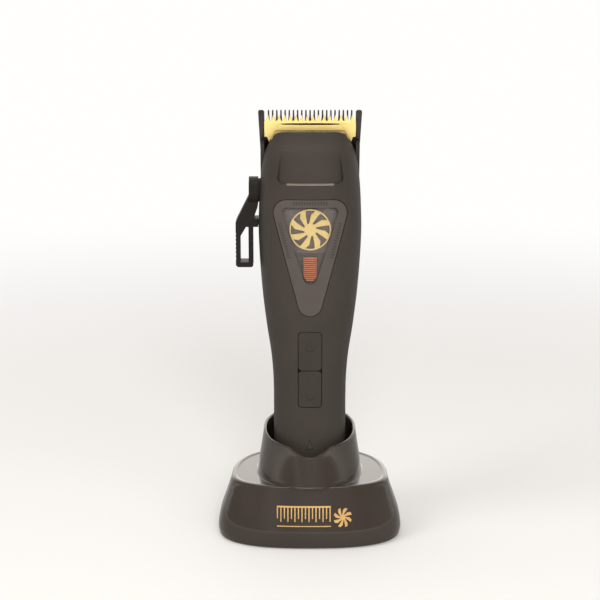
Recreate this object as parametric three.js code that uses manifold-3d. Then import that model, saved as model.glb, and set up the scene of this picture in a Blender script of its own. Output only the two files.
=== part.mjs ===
// A cordless hair clipper standing in its charging stand.
// Millimetres, +Z up, the clipper's face towards -Y. The origin is on the floor under the middle of the stand.
import * as THREE from "three";
import { mergeVertices } from "three/addons/utils/BufferGeometryUtils.js";
import { ParametricGeometry } from "three/addons/geometries/ParametricGeometry.js";
import Module from "manifold-3d";

const wasm = await Module();
wasm.setup();

// ---------------------------------------------------------------- driving dimensions
const gap = 0.3; // between pieces that touch on the real clipper
const wall = 2.4; // moulded casing
const roundSides = 16; // sides of a small round piece

// stand
const standWidth = 85.2;
const standDepth = 67;
const standHeight = 28;
const standWidestY = -9; // the base is widest in front of its middle
const standWall = 2.4;
const standSquareness = 2.6; // exponent of the plan's superellipse
const footHeight = 0.7;
const footRadius = 4.5;
const cupRoom = { width: 9.4, depth: 12.5 }; // how much larger the cup's rim is than the clipper's handle
const cupFlare = 3; // how much each side widens down to the base
const cupWall = 2.5;
const wellFloorTop = 22;
const wellFloor = 2;

// clipper casing
const clipperAxisY = -1.2;
const seatHeight = wellFloorTop + gap;
const shellLength = 166;
const shellWidth = 46.4; // at its widest, beside the window
const frontDepth = 20.2; // from the split line to the face
const rearDepth = 19.2; // from the split line to the back
const tailRound = 6;
const cupWidth = 0.72 * shellWidth + cupRoom.width;
const cupDepth = 0.85 * (frontDepth + rearDepth) + cupRoom.depth;

// head
const headTilt = THREE.MathUtils.degToRad(12); // blades lean towards the face
const headY = 7.2;
const headZ = shellLength - 21.2;
const bladeWidth = 45.8;
const bladeHeight = 30;
const bladeThickness = 2.4;
const railWidth = 2.8;
const toothCount = 21;
const toothDepth = 6;
const cutterWidth = 40.8;
const cutterHeel = 10.5; // height of the cutter's lower edge above the fixed blade's
const cutterSetback = 1.2; // how far the cutter's tips stay behind the fixed ones
const cutterToothCount = 16;
const cutterThickness = 1.3;
const cutterRib = 1;
const strokeHalf = 1.2; // the cutter's travel to each side
const lidClearance = 6.3; // from the blade plane to the back of the lid

// taper lever
const leverZ = 138.3; // height of its pivot above the tail
const leverHubRadius = 5.3;
const leverDepth = 8;
const leverSwing = THREE.MathUtils.degToRad(45);
const camOffset = 1.96; // eccentric pin from the pivot
const axleRadius = 2.5;

// window on the face
const bezel = { halfTop: 10.2, topZ: 131.2, topR: 6.3, bottomZ: 89.7, bottomR: 5.6 };
const window_ = { halfTop: 10.4, topZ: 131.9, topR: 2, bottomZ: 102.4, bottomR: 3.1 };
const bezelThickness = 1.2;
const bezelLedge = 1.5;
const rosetteRadius = 9.2;

// buttons on the face
const buttonHalfWidth = 5.5;
const buttonBottomZ = 40.8;
const buttonSplitZ = 58.4;
const buttonTopZ = 77;
const buttonTravel = 0.5;

// motor, battery and board
const motorRadius = 12;
const motorLength = 30;
const shaftRadius = 1.2;
const bearingRadius = 3.5;
const batteryRadius = 9;
const batteryLength = 50;
const boardThickness = 1.6;
const boardY = -8.6;
const screwShank = 1.3;
const screwHead = 2.7;

// ---------------------------------------------------------------- solids from three.js geometry
function solid(geometry, matrix) {
  const bare = (geometry.index ? geometry.toNonIndexed() : geometry.clone())
    .deleteAttribute("normal").deleteAttribute("uv");
  if (matrix) bare.applyMatrix4(matrix);
  const merged = mergeVertices(bare, 1e-4);
  return new wasm.Manifold(new wasm.Mesh({
    numProp: 3,
    vertProperties: merged.attributes.position.array,
    triVerts: new Uint32Array(merged.index.array),
  }));
}

function geometryOf(made) {
  const mesh = made.getMesh();
  const points = new Float32Array(mesh.numVert * 3);
  for (let i = 0; i < mesh.numVert; i++) {
    points.set(mesh.vertProperties.subarray(i * mesh.numProp, i * mesh.numProp + 3), i * 3);
  }
  return new THREE.BufferGeometry()
    .setAttribute("position", new THREE.BufferAttribute(points, 3))
    .setIndex(new THREE.BufferAttribute(mesh.triVerts, 1))
    .toNonIndexed();
}

// A box from its low corner to its high corner.
function block([x0, y0, z0], [x1, y1, z1]) {
  return solid(new THREE.BoxGeometry(x1 - x0, y1 - y0, z1 - z0)
    .translate((x0 + x1) / 2, (y0 + y1) / 2, (z0 + z1) / 2));
}

// A round bar along X, Y or Z from one end to the other, at the place given by the two other coordinates.
function rod(radius, axis, from, to, [a, b], sides = roundSides) {
  const bar = new THREE.CylinderGeometry(radius, radius, to - from, sides);
  const middle = (from + to) / 2;
  if (axis === "x") bar.rotateZ(Math.PI / 2).translate(middle, a, b);
  if (axis === "y") bar.translate(a, middle, b);
  if (axis === "z") bar.rotateX(Math.PI / 2).translate(a, b, middle);
  return solid(bar);
}

function ring(outer, inner, axis, from, to, place, sides = roundSides) {
  return rod(outer, axis, from, to, place, sides).subtract(rod(inner, axis, from - 1, to + 1, place, sides));
}

// An outline drawn as seen from the front (x, z), made into a slab from y0 to y1.
function slab(shape, y0, y1, curveSegments = 8) {
  const made = new THREE.ExtrudeGeometry(shape, { depth: y1 - y0, bevelEnabled: false, curveSegments });
  return solid(made.rotateX(Math.PI / 2).translate(0, y1, 0));
}

function polygon(points) {
  return new THREE.Shape(points.map(([x, z]) => new THREE.Vector2(x, z)));
}

// A smooth curve through [position, value] points, level at both ends.
function profile(points) {
  const slope = points.map((p, i) => {
    if (i === 0 || i === points.length - 1) return 0;
    return (points[i + 1][1] - points[i - 1][1]) / (points[i + 1][0] - points[i - 1][0]);
  });
  return (at) => {
    const x = THREE.MathUtils.clamp(at, points[0][0], points[points.length - 1][0]);
    const i = Math.min(points.findIndex((p) => x <= p[0]) - 1, points.length - 2);
    const k = Math.max(i, 0);
    const [x0, v0] = points[k];
    const [x1, v1] = points[k + 1];
    const span = x1 - x0;
    const t = (x - x0) / span;
    return v0 * (1 + 2 * t) * (1 - t) ** 2 + slope[k] * span * t * (1 - t) ** 2 +
      v1 * t * t * (3 - 2 * t) + slope[k + 1] * span * t * t * (t - 1);
  };
}

// A closed skin through rings, each a function of the angle round it, with a point at either end.
function loft(rings, around = 28) {
  const point = (u, v, target) => {
    const row = Math.round(v * (rings.length + 1));
    const last = rings.length + 1;
    const angle = (u % 1) * Math.PI * 2;
    if (row === 0 || row === last) {
      const end = rings[row === 0 ? 0 : rings.length - 1];
      const one = end(0);
      const other = end(Math.PI);
      target.set((one.x + other.x) / 2, (one.y + other.y) / 2, (one.z + other.z) / 2);
      return;
    }
    target.copy(rings[row - 1](angle));
  };
  const made = solid(new ParametricGeometry(point, around, rings.length + 1));
  return made.volume() < 0 ? solid(flipped(new ParametricGeometry(point, around, rings.length + 1))) : made;
}

function flipped(geometry) {
  const index = geometry.index.array;
  for (let i = 0; i < index.length; i += 3) [index[i + 1], index[i + 2]] = [index[i + 2], index[i + 1]];
  return geometry;
}

const power = (value, exponent) => Math.sign(value) * Math.abs(value) ** (2 / exponent);

// ---------------------------------------------------------------- scene graph
const clipperOnStand = new THREE.Group();
const clipper = new THREE.Group();
clipper.position.set(0, clipperAxisY, seatHeight);
const head = new THREE.Group();
head.position.set(0, headY, headZ);
head.rotation.x = headTilt;
clipper.add(head);
clipperOnStand.add(clipper);
head.updateMatrix();

const finishes = {
  softBlack: { color: 0x4c4640, roughness: 0.62, metalness: 0 },
  glossBlack: { color: 0x3a3632, roughness: 0.2, metalness: 0 },
  innerPlastic: { color: 0x2b2b2d, roughness: 0.6, metalness: 0 },
  greyPanel: { color: 0x645c57, roughness: 0.55, metalness: 0.1 },
  clearLens: { color: 0x9a9590, roughness: 0.08, metalness: 0 },
  goldSteel: { color: 0xe9c068, roughness: 0.25, metalness: 1 },
  blackSteel: { color: 0x3d3836, roughness: 0.38, metalness: 0.8 },
  steel: { color: 0xa9abad, roughness: 0.3, metalness: 1 },
  copper: { color: 0xb8744f, roughness: 0.35, metalness: 1 },
  board: { color: 0x1f5a3a, roughness: 0.5, metalness: 0 },
  rubber: { color: 0x222222, roughness: 0.9, metalness: 0 },
  cellWrap: { color: 0x2f6fa8, roughness: 0.4, metalness: 0 },
};
const materials = Object.fromEntries(
  Object.entries(finishes).map(([name, look]) => [name, new THREE.MeshStandardMaterial(look)]),
);

function place(group, name, made, finish) {
  const mesh = new THREE.Mesh(geometryOf(made), materials[finish]);
  mesh.name = name;
  group.add(mesh);
}

// ---------------------------------------------------------------- charging stand
const standSides = 36;
const standFront = standDepth / 2 + standWidestY;
const standBack = standDepth / 2 - standWidestY;

function standRing(z, inset) {
  return (angle) => {
    const side = Math.sin(angle);
    const reach = side < 0 ? standFront - inset : standBack - inset;
    return new THREE.Vector3(
      (standWidth / 2 - inset) * power(Math.cos(angle), standSquareness),
      standWidestY + reach * power(side, standSquareness),
      z,
    );
  };
}

// How far the base's side stands in from its widest line, by height: tucked in at the floor, leaning in upwards.
const standLean = profile([[0.8, 1.5], [4, 0], [10, 0.9], [16, 2.9], [22, 4.9], [standHeight - 1.2, 6.4]]);

function standLoft(inset, from, to) {
  const heights = [from, 3, 8, 14, 20, to];
  return loft(heights.map((z) => standRing(z, standLean(z) + inset)), standSides);
}

function cupRing(z, grow, squareness = 2.2) {
  return (angle) => new THREE.Vector3(
    (cupWidth / 2 + grow) * power(Math.cos(angle), squareness),
    clipperAxisY + (cupDepth / 2 + grow) * power(Math.sin(angle), squareness),
    typeof z === "function" ? z(angle) : z,
  );
}

// The rim dips in front, where the thumb reaches the clipper, and rises behind it.
const rimProfile = profile([
  [0, 13], [0.033, 13.5], [0.086, 15.5], [0.142, 17.5], [0.209, 18.2], [0.317, 18.8], [0.403, 19.8], [0.5, 20.8],
  [0.727, 22.4], [1, 23.6],
]);
function rimHeight(angle) {
  const fromFront = Math.abs(((angle + Math.PI / 2 + Math.PI) % (2 * Math.PI)) - Math.PI) / Math.PI;
  return standHeight + rimProfile(fromFront);
}

const postPlaces = [[-24.5, -16], [24.5, -16], [-21.5, 16.5], [21.5, 16.5]];
const footPlaces = [[-29, -8], [29, -8], [-20, 9], [20, 9]];
const contactX = 4.5;
const contactY = 5; // behind the clipper's axis
const contactRadius = 2.2;
const barrelRadius = 2.2;
const pinRadius = 1.1;
const pinTravel = 1.1;
const barrelBottom = 13.8;
const inletWidth = 9;
const inletHeight = 3.2;
const inletZ = 8;
const coverTop = 3;
const coverBottom = footHeight + gap;

function wellSolid(grow, from, to) {
  return loft([from, to].map((z) => cupRing(z, grow - cupWall)), standSides);
}

function standHousing() {
  const crown = [
    standRing(standHeight - 0.35, standLean(standHeight) + 0.35),
    standRing(standHeight, standLean(standHeight) + 1.2),
  ];
  const sides = [0.8, 3, 8, 14, 20, standHeight - 1.2].map((z) => standRing(z, standLean(z)));
  const base = loft([...sides, ...crown], standSides);
  const hollow = standLoft(standWall, -1, standHeight - standWall);
  const cup = loft([
    cupRing(standHeight - 1, cupFlare),
    cupRing((angle) => standHeight + 0.5 * (rimHeight(angle) - standHeight), cupFlare * 0.5),
    cupRing((angle) => rimHeight(angle) - 0.5, 0),
    cupRing(rimHeight, -0.5),
  ], standSides);
  const wellOutside = wellSolid(2, wellFloorTop - wellFloor, standHeight - 1);
  const well = wellSolid(0, wellFloorTop, standHeight + 60);
  let made = base.subtract(hollow).add(cup).add(wellOutside).subtract(well);
  for (const [x, y] of postPlaces) {
    made = made.add(ring(3.2, screwShank + gap, "z", coverTop + gap, standHeight - 1, [x, y], 14));
  }
  for (const side of [-1, 1]) {
    const x = side * contactX;
    const y = clipperAxisY + contactY;
    made = made.subtract(rod(barrelRadius + gap, "z", 10, wellFloorTop + 1, [x, y]));
    const peg = [side * 12, clipperAxisY];
    made = made.add(rod(1.6, "z", barrelBottom, wellFloorTop - 1, peg, 12));
  }
  const inletHole = block(
    [-inletWidth / 2 - gap, 20, inletZ - inletHeight / 2 - gap],
    [inletWidth / 2 + gap, standDepth, inletZ + inletHeight / 2 + gap],
  );
  return made.subtract(inletHole);
}

function standCover() {
  const inset = standLean(0.8) + standWall + gap + 0.2;
  let made = loft([standRing(coverBottom, inset), standRing(coverTop, inset)], standSides);
  for (const [x, y] of postPlaces) {
    made = made.subtract(rod(screwShank + gap, "z", 0, coverTop + 1, [x, y], 14));
    made = made.subtract(rod(screwHead + gap, "z", 0, coverBottom + 1, [x, y], 14));
  }
  return made;
}

function coverScrew([x, y]) {
  const headTop = coverBottom + 0.7;
  return rod(screwHead, "z", coverBottom - 0.1, headTop, [x, y], 14)
    .add(rod(screwShank, "z", headTop - 0.5, coverTop + 9, [x, y], 14))
    .subtract(block([x - 1.6, y - 0.3, 0], [x + 1.6, y + 0.3, coverBottom + 0.3]));
}

function buildStand() {
  place(clipperOnStand, "stand_housing", standHousing(), "glossBlack");
  place(clipperOnStand, "stand_cover", standCover(), "innerPlastic");
  postPlaces.forEach((spot, i) => {
    place(clipperOnStand, `cover_screw_${i + 1}`, coverScrew(spot), "steel");
  });
  footPlaces.forEach((spot, i) => {
    place(clipperOnStand, `rubber_foot_${i + 1}`, rod(footRadius, "z", 0, footHeight, spot, 18), "rubber");
  });
  const weight = block([-18, -18, coverTop + gap], [18, 12, coverTop + gap + 5]);
  place(clipperOnStand, "ballast_plate", weight, "steel");
  const boardTop = barrelBottom - gap;
  const board = block([-15, clipperAxisY - 8, boardTop - boardThickness], [15, clipperAxisY + 10, boardTop]);
  place(clipperOnStand, "charging_board", board, "board");
  const y = clipperAxisY + contactY;
  for (const [side, name] of [[-1, "left"], [1, "right"]]) {
    const spot = [side * contactX, y];
    const bore = rod(pinRadius + gap, "z", barrelBottom + 1, wellFloorTop + 1, spot);
    const barrel = rod(barrelRadius, "z", barrelBottom, wellFloorTop - 0.2, spot).subtract(bore);
    place(clipperOnStand, `contact_barrel_${name}`, barrel, "steel");
    const pinBottom = wellFloorTop - 4;
    const pinTop = wellFloorTop + pinTravel - 0.2;
    place(clipperOnStand, `contact_pin_${name}`, rod(pinRadius, "z", pinBottom, pinTop, spot), "goldSteel");
  }
  const inletBack = standDepth / 2 - 2.2;
  const inlet = block(
    [-inletWidth / 2, inletBack - 7, inletZ - inletHeight / 2],
    [inletWidth / 2, inletBack, inletZ + inletHeight / 2],
  ).subtract(block(
    [-inletWidth / 2 + 0.5, inletBack - 6, inletZ - inletHeight / 2 + 0.5],
    [inletWidth / 2 - 0.5, inletBack + 1, inletZ + inletHeight / 2 - 0.5],
  )).add(block([-3.2, inletBack - 6.5, inletZ - 0.35], [3.2, inletBack - 1, inletZ + 0.35]));
  place(clipperOnStand, "power_inlet", inlet, "steel");
}

// ---------------------------------------------------------------- clipper casing
// Outline from the tail (0) to the lid's end (1), as shares of the casing's width and depths.
const sideShare = profile([
  [0, 0.7], [0.085, 0.72], [0.29, 0.72], [0.375, 0.76], [0.47, 0.858], [0.58, 0.944],
  [0.715, 1], [0.795, 0.99], [0.867, 0.958], [0.934, 0.89], [1, 0.76],
]);
const frontShare = profile([
  [0, 0.8], [0.085, 0.84], [0.3, 0.86], [0.48, 0.91], [0.715, 1], [0.81, 0.97], [0.873, 0.87],
  [0.935, 0.64], [1, 0.32],
]);
const rearShare = profile([
  [0, 0.8], [0.085, 0.86], [0.3, 0.81], [0.51, 0.875], [0.69, 1], [0.785, 0.94], [0.867, 0.69],
  [0.935, 0.57], [1, 0.52],
]);
const faceY = (z) => -frontDepth * frontShare(z / shellLength);
const backY = (z) => rearDepth * rearShare(z / shellLength);
const sideX = (z) => (shellWidth / 2) * sideShare(z / shellLength);
const sideExponent = 2.7;
const depthExponent = 2.5;
const backAt = (x, z) => backY(z) * (1 - (Math.abs(x) / sideX(z)) ** sideExponent) ** (1 / depthExponent);

function casingRing(z, inset) {
  const round = Math.max(0, 1 - (z - inset) / tailRound);
  const tuck = 0.24 * tailRound * (1 - Math.sqrt(Math.max(0, 1 - round * round))) * 2;
  return (angle) => {
    const side = Math.sin(angle);
    const depth = side < 0 ? -faceY(z) : backY(z);
    return new THREE.Vector3(
      (sideX(z) - inset - tuck) * power(Math.cos(angle), sideExponent),
      (depth - inset - tuck) * power(side, depthExponent),
      z,
    );
  };
}

// The casing's solid shape, drawn in by an inset. The inside runs out through the lid's end.
function casing(inset) {
  const low = inset;
  const heights = [low, low + 1, low + 3, tailRound + inset];
  const rest = 15;
  for (let i = 1; i <= rest; i++) {
    heights.push(heights[3] + ((shellLength + 1 - heights[3]) * i) / rest);
  }
  return loft(heights.map((z) => casingRing(z, inset)));
}

const farOut = 60; // past the casing on every side

// The hull outline of two top circles and one bottom circle, drawn in by an inset.
function roundedTriangle({ halfTop, topZ, topR, bottomZ, bottomR }, inset) {
  const run = new THREE.Vector2(halfTop, topZ - bottomZ);
  const lean = Math.acos((bottomR - topR) / run.length());
  const turn = run.angle() - lean;
  const shape = new THREE.Shape();
  shape.absarc(halfTop, topZ, topR - inset, Math.PI / 2, turn, true);
  shape.absarc(0, bottomZ, bottomR - inset, turn, -Math.PI - turn, true);
  shape.absarc(-halfTop, topZ, topR - inset, Math.PI - turn, Math.PI / 2, true);
  return shape;
}

function roundedBox(halfWidth, low, high, radius, inset) {
  const x = halfWidth - inset;
  const [z0, z1, r] = [low + inset, high - inset, radius];
  const shape = new THREE.Shape();
  shape.absarc(x - r, z1 - r, r, Math.PI / 2, 0, true);
  shape.absarc(x - r, z0 + r, r, 0, -Math.PI / 2, true);
  shape.absarc(-x + r, z0 + r, r, -Math.PI / 2, -Math.PI, true);
  shape.absarc(-x + r, z1 - r, r, -Math.PI, -1.5 * Math.PI, true);
  return shape;
}

const faceSlab = (shape) => slab(shape, -farOut, -2, 5);
const bezelOutline = (inset) => faceSlab(roundedTriangle(bezel, inset));
const windowOutline = (inset) => faceSlab(roundedTriangle(window_, inset));
const skin = (outer, inner) => casing(outer).subtract(casing(inner));

const archEdge = shellLength - 4.8; // where the lid's arch leaves its sides
function lidArch() {
  const shape = new THREE.Shape();
  shape.moveTo(-farOut, -5);
  shape.lineTo(farOut, -5);
  shape.lineTo(farOut, archEdge);
  shape.lineTo(shellWidth * 0.41, archEdge);
  shape.quadraticCurveTo(shellWidth * 0.34, shellLength, shellWidth * 0.22, shellLength);
  shape.lineTo(-shellWidth * 0.22, shellLength);
  shape.quadraticCurveTo(-shellWidth * 0.34, shellLength, -shellWidth * 0.41, archEdge);
  shape.lineTo(-farOut, archEdge);
  return slab(shape, -farOut, farOut, 6);
}

// The room that the blades and their frame take out of the casing, in the head's own tilted frame.
function headRoom() {
  const box = new THREE.BoxGeometry(2 * farOut, farOut, farOut);
  return solid(box.translate(0, farOut / 2 - lidClearance, farOut / 2 - gap), head.matrix);
}

// A shallow wedge under the lid's crown, deepest at its lower lip.
const panel = { low: shellLength - 22.2, high: shellLength - 7.5, halfLow: 14, halfHigh: 11.6, depth: 1 };
function panelRecess() {
  const { low, high, halfLow, halfHigh, depth } = panel;
  const length = high - low;
  const shape = polygon([
    [-halfLow + 2, 0], [halfLow - 2, 0], [halfLow, 2], [halfHigh, length], [-halfHigh, length], [-halfLow, 2],
  ]);
  const lean = Math.atan2(faceY(high) - faceY(low) - depth, length);
  const made = new THREE.ExtrudeGeometry(shape, { depth: 20, bevelEnabled: false }).rotateX(Math.PI / 2);
  return solid(made.rotateX(-lean).translate(0, faceY(low) + depth, low));
}

const caseScrews = [[-12, 81], [12, 81], [-9.5, 9], [9.5, 9]];
const mark = { low: 20.6, high: 25.4, half: 1.7 };
const markOutline = (inset) => faceSlab(polygon([
  [-mark.half + inset, mark.low + inset], [mark.half - inset, mark.low + inset], [0, mark.high - 2 * inset],
]));
const ledTrench = buttonBottomZ - 6;

function frontShell() {
  const half = block([-farOut, -farOut, -5], [farOut, 0, shellLength + 5]);
  const inside = casing(wall / 2).intersect(half);
  const motorRest = block([-17, -farOut, motorBottom + 6], [17, -4, motorBottom + 8]).intersect(inside)
    .subtract(rod(motorRadius + gap, "z", 0, shellLength, [0, 0], 28));
  let made = skin(0, wall).intersect(half).intersect(lidArch()).subtract(headRoom()).add(motorRest);
  const pocket = bezelOutline(0).subtract(casing(bezelThickness + gap));
  made = made.subtract(pocket).subtract(bezelOutline(bezelLedge)).subtract(panelRecess());
  made = made.subtract(faceSlab(roundedBox(buttonHalfWidth, buttonBottomZ, buttonTopZ, 2, 0)));
  made = made.subtract(markOutline(0));
  for (const [x, z] of caseScrews) {
    made = made.add(rod(3, "y", -farOut, -1, [x, z], 14).intersect(inside));
    made = made.subtract(rod(screwShank + gap, "y", faceY(z) + wall + 2, 5, [x, z], 12));
  }
  for (const z of [ledTrench, buttonTopZ + 6]) {
    made = made.add(block([-8, -farOut, z], [8, boardY - gap, z + 2]).intersect(inside));
  }
  return made.subtract(axleHole()).subtract(leverSeatHole()).subtract(portHole()).subtract(windowRoom());
}

const motorBottom = leverZ - 8 - motorLength;
const batteryBottom = 14;
const batteryY = 3.6;
const axleHole = () => rod(axleRadius + 0.4, "x", -shellWidth, -10, [0, leverZ]);
const portY = -6.5;
const portHole = () => block([-4.5 - gap, portY - 1.6 - gap, -1], [4.5 + gap, portY + 1.6 + gap, 9]);
const trayTop = wall + gap;
const trayThickness = 1.2;
const windowRoom = () => bezelOutline(-0.2).intersect(casing(trayTop - 0.3)).intersect(
  block([-farOut, -farOut, bezel.bottomZ - 8], [farOut, -8, bezel.topZ + 8]));

function rearShell() {
  const half = block([-farOut, 0, -5], [farOut, farOut, shellLength + 5]);
  let made = skin(0, wall).intersect(half).intersect(lidArch()).subtract(headRoom());
  const inside = casing(wall / 2).intersect(half).subtract(headRoom());
  for (const [x, z] of caseScrews) {
    made = made.add(rod(3.4, "y", 0.3, farOut, [x, z], 14).intersect(inside));
    made = made.subtract(rod(screwShank + gap, "y", -1, farOut, [x, z], 12));
    made = made.subtract(rod(screwHead + gap, "y", backAt(x, z) - 3, farOut, [x, z], 14));
  }
  for (const z of [motorBottom + 5, motorBottom + motorLength - 8]) {
    const saddle = block([-13, 4, z], [13, farOut, z + 2]).intersect(inside);
    made = made.add(saddle.subtract(rod(motorRadius + gap, "z", 0, shellLength, [0, 0], 32)));
  }
  for (const z of [batteryBottom + 6, batteryBottom + batteryLength - 8]) {
    const saddle = block([-10, 6, z], [10, farOut, z + 2]).intersect(inside);
    made = made.add(saddle.subtract(rod(batteryRadius + gap, "z", 0, shellLength, [0, batteryY], 28)));
  }
  for (const side of [-1, 1]) {
    made = made.subtract(rod(contactRadius + gap, "z", -1, 6, [side * contactX, contactY], 16));
    const post = rod(2.4, "y", headY - 2, farOut, [side * 13, headZ - 5], 14).intersect(inside);
    made = made.add(post.subtract(frameRoom()));
  }
  return made.subtract(axleHole()).subtract(leverSeatHole());
}

// The frame's plate and its clearance, which the posts behind it stop short of.
const frameRoom = () => solid(
  new THREE.BoxGeometry(farOut, 12, 12).translate(0, gap - 6, -3), head.matrix,
);

function buildWindow() {
  place(clipper, "window_bezel", bezelOutline(gap).intersect(skin(0, bezelThickness)).subtract(windowOutline(0)),
    "greyPanel");
  place(clipper, "window_lens", windowOutline(gap).intersect(skin(0.25, bezelThickness)), "clearLens");
  const tray = bezelOutline(0.9).intersect(skin(trayTop, trayTop + trayThickness));
  place(clipper, "window_tray", tray, "greyPanel");
  const layer = skin(bezelThickness + gap, trayTop - gap);
  place(clipper, "rosette", rosetteOutline().intersect(layer), "goldSteel");
  const coilShape = roundedBox(3, window_.bottomZ - 2.2, window_.bottomZ + 9, 2.5, 0);
  place(clipper, "motor_coil", faceSlab(coilShape).intersect(layer), "copper");
}

// A round fan-like badge: a hub, a rim and eight swept spokes.
function rosetteOutline() {
  const z = window_.topZ + 2 - rosetteRadius - 0.9;
  let made = ring(rosetteRadius, rosetteRadius - 1.3, "y", -farOut, -2, [0, z], 32);
  made = made.add(rod(2.6, "y", -farOut, -2, [0, z], 16));
  const spokes = 8;
  for (let i = 0; i < spokes; i++) {
    const spoke = new THREE.BoxGeometry(1.7, farOut - 2, rosetteRadius - 2.4)
      .translate(0.9, -(farOut + 2) / 2, (rosetteRadius + 1.4) / 2)
      .rotateY((i * Math.PI * 2) / spokes).translate(0, 0, z);
    made = made.add(solid(spoke));
  }
  return made;
}

function button(low, high) {
  const body = faceSlab(roundedBox(buttonHalfWidth, low, high, 1.7, gap)).intersect(skin(0.15, 3.6));
  const flange = faceSlab(roundedBox(buttonHalfWidth + 1, low + 0.4, high - 0.4, 1.7, 0))
    .intersect(skin(wall + gap, 3.6));
  return body.add(flange);
}

function buildCasing() {
  place(clipper, "front_shell", frontShell(), "softBlack");
  place(clipper, "rear_shell", rearShell(), "softBlack");
  buildWindow();
  place(clipper, "power_button", button(buttonSplitZ - gap / 2, buttonTopZ), "softBlack");
  place(clipper, "speed_button", button(buttonBottomZ, buttonSplitZ + gap / 2), "softBlack");
  place(clipper, "status_lens", markOutline(gap / 2).intersect(skin(0.1, wall)), "greyPanel");
  caseScrews.forEach(([x, z], i) => {
    const seat = backAt(x, z) - 3;
    const screw = rod(screwHead, "y", seat + gap, seat + 1.8, [x, z], 14)
      .add(rod(screwShank, "y", faceY(z) + wall + 4, seat + 1, [x, z], 12))
      .subtract(block([x - 1.7, seat + 1.3, z - 0.3], [x + 1.7, seat + 3, z + 0.3]));
    place(clipper, `case_screw_${i + 1}`, screw, "steel");
  });
}

// ---------------------------------------------------------------- blades and what carries them
const cheekInner = 19.2;
const cheekTop = 18.6;
const frameWidth = 44.4;
const plateTop = cutterHeel - 1.9;
const bladeScrewX = 10;
const bladeScrewZ = 4.6;

function headFrame() {
  const half = frameWidth / 2;
  const outline = polygon([
    [-15, -8], [15, -8], [15, 0], [half, 0], [half, plateTop], [-half, plateTop], [-half, 0], [-15, 0],
  ]);
  let made = slab(outline, -2.4, -gap);
  for (const side of [-1, 1]) {
    const [low, high] = side < 0 ? [-half, -cheekInner] : [cheekInner, half];
    made = made.add(block([low, -lidClearance + gap, 0], [high, -gap, cheekTop]));
    made = made.subtract(rod(screwShank, "y", -farOut, farOut, [side * bladeScrewX, bladeScrewZ], 12));
  }
  return made;
}

// A comb outline: a bar with pointed teeth standing on it.
function comb(count, span, barLow, barHigh, tip, rootShare, tipShare, edges) {
  const pitch = span / count;
  const points = [[-edges, barLow], [edges, barLow], [edges, barHigh]];
  for (let i = 0; i < count; i++) {
    const x = span / 2 - pitch * (i + 0.5);
    points.push([x + pitch * rootShare, barHigh], [x + pitch * tipShare, tip]);
    points.push([x - pitch * tipShare, tip], [x - pitch * rootShare, barHigh]);
  }
  points.push([-edges, barHigh]);
  return polygon(points);
}

function fixedBlade() {
  const railInner = bladeWidth / 2 - railWidth;
  const pitch = (2 * railInner) / (toothCount + 1);
  const root = bladeHeight - toothDepth;
  const outline = comb(toothCount, pitch * toothCount, 0, root, bladeHeight, 0.28, 0.15, railInner + 0.5);
  let made = slab(outline, 0, bladeThickness);
  for (const side of [-1, 1]) {
    const top = bladeHeight;
    const outer = bladeWidth / 2;
    const low = frameWidth / 2;
    const rail = [
      [railInner, root - 3], [railInner, top - 0.5], [railInner + 0.5, top], [outer - 0.8, top], [outer, top - 0.8],
      [low, plateTop], [low, 0], [railInner - 4, 0], [railInner - 4, root - 3],
    ].map(([x, z]) => [side * x, z]);
    made = made.add(slab(polygon(side < 0 ? rail.reverse() : rail), 0, bladeThickness));
    const screw = [side * bladeScrewX, bladeScrewZ];
    made = made.subtract(rod(screwShank + gap, "y", -1, 5, screw, 14));
    made = made.subtract(rod(screwHead + gap, "y", bladeThickness - 1.5, 5, screw, 18));
  }
  // the back is ground away towards the tips
  const ground = new THREE.BoxGeometry(farOut, 4, 14).translate(0, 2, 7).rotateX(Math.atan2(1.7, 8));
  return made.subtract(solid(ground.translate(0, bladeThickness, bladeHeight - 8)));
}

function bladeScrew(side) {
  const spot = [side * bladeScrewX, bladeScrewZ];
  const seat = bladeThickness - 1.5;
  return rod(screwHead, "y", seat + gap, bladeThickness - 0.1, spot, 18)
    .add(rod(screwShank - gap, "y", -1.8, seat + 0.5, spot, 12))
    .subtract(block([spot[0] - 1.8, bladeThickness - 0.5, spot[1] - 0.3], [spot[0] + 1.8, 5, spot[1] + 0.3]));
}

const cutterFront = -gap - cutterThickness;
const cutterTip = bladeHeight - cutterSetback;
const cutterRoot = cutterTip - 2.9;
const ribLow = 21.4; // lower edge of the cutter's raised bar
const cutterShoulder = 20.6; // above it the cutter is as wide as its teeth, clear of the cheeks when it drops

function cutterBlade() {
  const half = cutterWidth / 2;
  const neck = cheekInner - strokeHalf - gap;
  const teeth = comb(cutterToothCount, cutterWidth - 0.6, cutterShoulder, cutterRoot, cutterTip, 0.36, 0.1, half);
  let made = slab(teeth, cutterFront, -gap);
  made = made.add(slab(polygon([
    [-neck, cutterHeel], [neck, cutterHeel], [neck, ribLow], [-neck, ribLow],
  ]), cutterFront, -gap));
  const rib = polygon([
    [-half, cutterShoulder], [-neck, cutterShoulder], [-neck, 16], [-15.2, ribLow], [15.2, ribLow],
    [neck, 16], [neck, cutterShoulder], [half, cutterShoulder], [half, cutterRoot - 0.2], [-half, cutterRoot - 0.2],
  ]);
  made = made.add(slab(rib, cutterFront - cutterRib, cutterFront + 0.2));
  return made.subtract(block([-13, cutterFront - 5, 24.4], [13, cutterFront - cutterRib + 0.5, 24.9]));
}

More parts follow.
